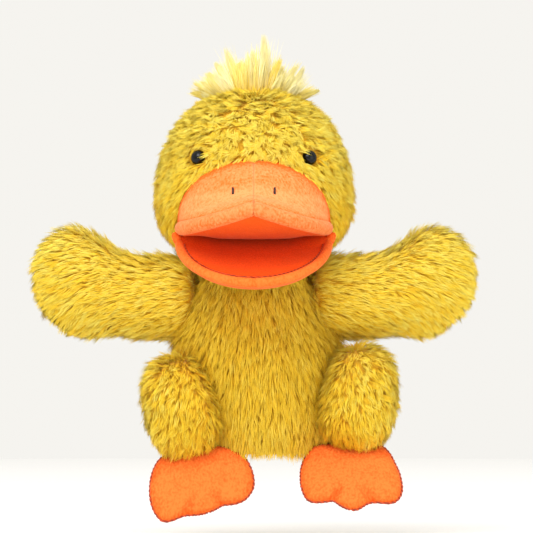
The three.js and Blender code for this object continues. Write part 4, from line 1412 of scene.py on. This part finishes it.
class PUPPET_OT_lower_bill(bpy.types.Operator):
    """Sew the lower bill: its padded rim, its underside and the seam round the mouth's floor"""

    bl_idname = "puppet.lower_bill"
    bl_label = "Lower bill"

    def execute(self, context):
        sizes = context.scene.puppet_bill
        self.rim(sizes)
        self.underside(sizes)
        self.seam(sizes)
        return {"FINISHED"}

    def rim(self, sizes):
        """The padded roll round the lower bill, turned up at the mouth's corners."""
        turn = np.linspace(0.0, math.pi, 121)
        path = rim_centre(turn)
        corner = np.array([[-2.5, 2.0, 8.0], [-2.6, 1.2, 5.4], [-1.6, 0.5, 2.6]])
        left = path[0] + corner
        right = (path[-1] + corner * [-1, 1, 1])[::-1]
        count = 150
        path, length = even_path(np.concatenate([left, path, right]), count)
        middle = bell(np.linspace(0, length, count), length / 2, 1.0)
        radius = end_taper(count, length, sizes.rim_radius) - 0.5 * middle
        surface = roll(path, radius, 24)
        # Painted light: the rim is paler the lower it runs, palest at the front, and deeper up at its corners;
        # its middle seam is darker.
        bottom = smooth_step((path[:, 2].max() - path[:, 2]) / (path[:, 2].max() - path[:, 2].min()))
        shade = (0.55 - 0.5 * bottom + 0.3 * middle)[:, None] + 0 * surface.points[..., 0]
        made = cloth_piece("lower_rim_velboa", surface, "rim", None, shade)
        seat(made, "lower_jaw", "orange_velboa", "lower_lip", fill=0.8)

    def underside(self, sizes):
        """From the rim back to the chin, flat below and full at its sides."""
        turn = np.linspace(0.05, math.pi - 0.05, 72)[None, :]
        t = np.linspace(0, 1, 28)[:, None]
        rim = rim_centre(turn)
        low, high = box_mm("lower_bill_cover")
        back = np.stack([MIDDLE - 44 * np.cos(turn), 0 * turn + high[1] - 4,
                         HINGE[2] - 4 - (HINGE[2] - 4 - low[2]) * np.sin(turn) ** 0.8], -1)
        points = rim + (back - rim) * t[..., None]
        full = np.sin(math.pi * t) ** 0.8
        points[..., 2] -= 3.5 * full * np.sin(turn)
        points[..., 0] -= 2.5 * full * np.cos(turn)
        # Painted light: paler where the underside bulges out, deeper at its edges by the rim and the chin.
        shade = 0.5 - 0.3 * full + 0 * turn
        surface = Surface(points, HINGE + [0, -20, 20])
        made = cloth_piece("lower_bill_velboa", surface, "rim", sizes.skin, shade)
        seat(made, "lower_jaw", "orange_velboa", "lower_bill_cover", "lower_bill_wadding", fill=0.7)

    def seam(self, sizes):
        """The thread line where the floor's lining is sewn to the rim."""
        count = 160
        turn = np.linspace(0.1, math.pi - 0.1, count)
        inset = sizes.rim_radius - 0.2
        ripple = 0.12 * np.sin(np.arange(count) * 1.4)
        s = RIM_START + (RIM_REACH - inset) * np.sin(turn)
        path = mouth_point(-LOWER_TILT, -(BILL_HALF - inset) * np.cos(turn), s, 0.1 + ripple)
        made = cloth_piece("mouth_seam_thread", roll(path, end_taper(count, 150, 0.42), 8), "seam")
        seat(made, "lower_jaw", "orange_velboa")


# ------------------------------------------------------------------ the eyes and the crest
def eye_site(sizes, side):
    """Where an eye sits on the face, and the way it looks."""
    x = side * sizes.spread
    z = HINGE[2] + sizes.height
    at = np.array([MIDDLE + x, float(face_y(np.array(x), np.array(z))), z])
    out = (at - HEAD_AT) / np.array([HEAD_HALF, HEAD_DEEP, HEAD_RISE]) ** 2
    return at, unit(out)


class PUPPET_OT_eyes(bpy.types.Operator):
    """Press in the two polished safety eyes"""

    bl_idname = "puppet.eyes"
    bl_label = "Eyes"

    def execute(self, context):
        sizes = context.scene.puppet_eyes
        angle = np.linspace(0, QUARTER, 14)
        back = [0, sizes.radius * 0.8, sizes.radius * 0.97, sizes.radius]
        radius = back + list(sizes.radius * np.cos(angle))
        height = [-1.2, -1.2, -1.0, -0.4] + list(sizes.dome * np.sin(angle))
        turn = np.linspace(0, 2 * math.pi, 48, endpoint=False)
        for name, side in SIDES.items():
            at, out = eye_site(sizes, side)
            at = at - out * 0.8
            first = unit(np.cross(out, [0, 0, 1.0]))
            second = np.cross(out, first)
            ring = np.cos(turn)[:, None] * first + np.sin(turn)[:, None] * second
            points = at + np.array(radius)[:, None, None] * ring + np.array(height)[:, None, None] * out
            surface = Surface(points, at, wrap=True, poles=(True, True))
            made = cloth_piece(f"eye_{name}_dome", surface, "eye")
            seat(made, "head", "eye_black", f"eye_{name}")
        return {"FINISHED"}


class PUPPET_OT_crest(bpy.types.Operator):
    """Sew in the tuft of long pale pile on the crown"""

    bl_idname = "puppet.crest"
    bl_label = "Crest"

    def execute(self, context):
        sizes = context.scene.puppet_pile
        rng = np.random.default_rng(61)
        count, wisps = 7000, 64
        half, sections = 29.0, 4
        x = rng.uniform(-1, 1, count)
        y = rng.uniform(-1, 1, count) * np.sqrt(1 - x ** 2)
        directions = unit(np.stack([x * half, y * 9.0 - 2, np.full(count, HEAD_RISE)], -1))
        roots = head_form(directions, sizes.skin_depth + 0.5)
        fan = x * (0.80 + 0.35 * np.abs(x))
        chosen = rng.choice(count, wisps, replace=False)
        wisp = nearest(roots, roots[chosen])
        sway = rng.normal(0, 0.07, wisps)[wisp]
        tip = np.stack([np.sin(fan + sway), 0.45 * y + rng.normal(0, 0.16, wisps)[wisp], np.cos(fan)], -1)
        first = unit(tip + rng.normal(0, 0.07, (count, 3)))
        last = unit(tip * [1.15, 1.2, 1.0] + rng.normal(0, 0.10, (count, 3)))
        tall = 1 - 0.30 * np.abs(x) ** 1.3 + 0.04 * np.sin(x * 13)
        length = sizes.crest_length * tall * (0.84 + rng.normal(0, 0.13, wisps)[wisp])
        length = length * (1 - 0.45 * rng.random(count) ** 2.2)
        for place in (-0.3, 0.24):
            near = np.abs(x[chosen] - place).argmin()
            tallest = sizes.crest_length * 1.16 * (1 - 0.3 * rng.random(count))
            length = np.where(wisp == near, tallest, length)
        tone = np.clip(0.5 + rng.normal(0, 0.16, wisps)[wisp] + rng.normal(0, 0.15, count), 0, 1)
        width = 0.5 * (0.7 + 0.5 * rng.random(count))
        pull = np.where(rng.random(count) < 0.3, 0.15, 0.82)
        points, faces = fibres(roots, first, last, length, width, tone, sections, chosen[wisp], pull)
        made = mesh_piece("crest_pile", points, [(face, "crest_pile", uv) for face, uv in faces])
        facing = unit(np.stack([0.5 * tip[:, 0], 0.4 * tip[:, 1] - 0.3, np.full(count, 0.7)], -1))
        soften(made, 0, np.repeat(facing, 3 * sections + 1, axis=0))
        seat(made, "head", "cream_long_pile", "crest_tuft")
        return {"FINISHED"}


# ------------------------------------------------------------------ the inside
class PUPPET_OT_inside(bpy.types.Operator):
    """Finish the boards, washers and pockets inside the puppet"""

    bl_idname = "puppet.inside"
    bl_label = "Inside"

    def execute(self, context):
        finishes = {
            "upper_mouth_board": "board", "lower_mouth_board": "board",
            "eye_washer_left": "washer", "eye_washer_right": "washer",
        }
        for node, material in finishes.items():
            mesh = frame["nodes"][node].data
            mesh.materials.clear()
            mesh.materials.append(finish(material))
        self.pocket("finger_pocket", "head", UPPER_TILT, 1)
        self.pocket("thumb_pocket", "lower_jaw", -LOWER_TILT, -1)
        return {"FINISHED"}

    def pocket(self, node, body, tilt, up):
        """A cloth pocket with rounded corners, open towards the hand."""
        low, high = box_mm(node)
        half = (high[0] - low[0]) / 2 - 0.8
        length = (high[1] - low[1]) / math.cos(tilt) * 0.93
        s = np.linspace(-8, length - 10, 24)[:, None]
        turn = np.linspace(0, 2 * math.pi, 49)[None, :-1]
        narrow = 1 - 0.3 * smooth_step(s / length)
        close = np.sqrt(np.clip(1 - smooth_step((s - length + 18) / 9) ** 2, 0.02, 1))
        c, k = np.cos(turn), np.sin(turn)
        x = half * narrow * close * np.sign(c) * np.abs(c) ** 0.6
        h = up * (12.0 * (1 - 0.25 * smooth_step(s / length)) + 7.0 * close * np.sign(k) * np.abs(k) ** 0.6)
        points = mouth_point(tilt, x, s + 0 * x, h)
        surface = Surface(points, points.mean((0, 1)), wrap=True)
        made = cloth_piece(f"{node}_cloth", surface, "lining", 0.7)
        seat(made, body, "yellow_lining_cloth", node)


# ------------------------------------------------------------------ the studio
class PUPPET_OT_stage(bpy.types.Operator):
    """Set up the pale floor, the soft lights and the camera"""

    bl_idname = "puppet.stage"
    bl_label = "Studio"

    def execute(self, context):
        sizes = context.scene.puppet_studio
        self.floor(sizes)
        self.lights(context, sizes)
        self.camera(context, sizes)
        return {"FINISHED"}

    def floor(self, sizes):
        """A round pale floor that falls away a little towards its edge."""
        radius, fall = 3000, 60
        level = (cad_low.z - sizes.floor_gap) / MM
        reach = np.linspace(1, radius, 30)[:, None]
        turn = np.linspace(0, 2 * math.pi, 64, endpoint=False)[None, :]
        height = level - (reach / radius) ** 4 * fall + 0 * turn
        points = np.stack([reach * np.cos(turn), reach * np.sin(turn), height], -1)
        surface = Surface(points, [0, 0, -5000], wrap=True)
        made = mesh_piece("studio_floor", points.reshape(-1, 3), [(surface.quads, "studio", None)])

    def lights(self, context, sizes):
        """A pale surround, and three soft square lamps that look at the puppet's middle."""
        world = bpy.data.worlds.new("studio_surround")
        world.use_nodes = True
        background = world.node_tree.nodes["Background"]
        background.inputs["Color"].default_value = linear("#FFFDF8")
        background.inputs["Strength"].default_value = sizes.world_light
        context.scene.world = world
        places = {
            "key": ((-0.45, -1.15, 1.35), 1.0, sizes.key_power),
            "fill": ((1.05, -1.0, 0.35), 1.0, sizes.fill_power),
            "top": ((0.1, 0.35, 1.3), 0.9, sizes.fill_power * 0.5),
        }
        aim = Vector((0, 0, 0.13))
        for name, (place, size, power) in places.items():
            data = bpy.data.lights.new(f"{name}_light", "AREA")
            data.size = size
            data.energy = power
            light = bpy.data.objects.new(f"{name}_light", data)
            light.location = place
            light.rotation_euler = (aim - light.location).to_track_quat("-Z", "Y").to_euler()
            context.scene.collection.objects.link(light)

    def camera(self, context, sizes):
        """A long lens straight ahead, level with the mouth."""
        data = bpy.data.cameras.new("studio_camera")
        data.sensor_width = 36
        data.lens = data.sensor_width * sizes.distance / sizes.view_width
        data.clip_end = 50
        camera = bpy.data.objects.new("studio_camera", data)
        camera.location = ((MIDDLE + 8.5) * MM, HEAD_AT[1] * MM - sizes.distance, (HINGE[2] - 19.1) * MM)
        camera.rotation_euler = (QUARTER, 0, 0)
        context.scene.collection.objects.link(camera)
        context.scene.camera = camera
        context.scene.view_settings.view_transform = "Standard"


STEPS = [
    PUPPET_OT_stage, PUPPET_OT_body, PUPPET_OT_neck, PUPPET_OT_head, PUPPET_OT_wings, PUPPET_OT_legs,
    PUPPET_OT_feet, PUPPET_OT_upper_bill, PUPPET_OT_mouth, PUPPET_OT_lower_bill, PUPPET_OT_eyes,
    PUPPET_OT_crest, PUPPET_OT_inside,
]


class PUPPET_PT_maker(bpy.types.Panel):
    """The puppet's pieces, and the sizes that they are made to"""

    bl_label = "Duck hand puppet"
    bl_space_type = "VIEW_3D"
    bl_region_type = "UI"
    bl_category = "Puppet"

    def draw(self, context):
        for step in STEPS:
            self.layout.operator(step.bl_idname)
        for group in GROUPS:
            settings = getattr(context.scene, group)
            for name in settings.bl_rna.properties.keys():
                if name not in ("rna_type", "name"):
                    self.layout.prop(settings, name)


GROUPS = {
    "puppet_colours": PuppetColours,
    "puppet_pile": PuppetPileSizes,
    "puppet_bill": PuppetBillSizes,
    "puppet_eyes": PuppetEyeSizes,
    "puppet_studio": PuppetStudioSizes,
}


def register():
    for cls in [*GROUPS.values(), *STEPS, PUPPET_PT_maker]:
        bpy.utils.register_class(cls)
    for name, cls in GROUPS.items():
        setattr(bpy.types.Scene, name, bpy.props.PointerProperty(type=cls))


def unregister():
    for name in GROUPS:
        delattr(bpy.types.Scene, name)
    for cls in reversed([*GROUPS.values(), *STEPS, PUPPET_PT_maker]):
        bpy.utils.unregister_class(cls)


def main():
    register()
    for step in STEPS:
        group, name = step.bl_idname.split(".")
        getattr(getattr(bpy.ops, group), name)()


if __name__ == "__main__":
    main()
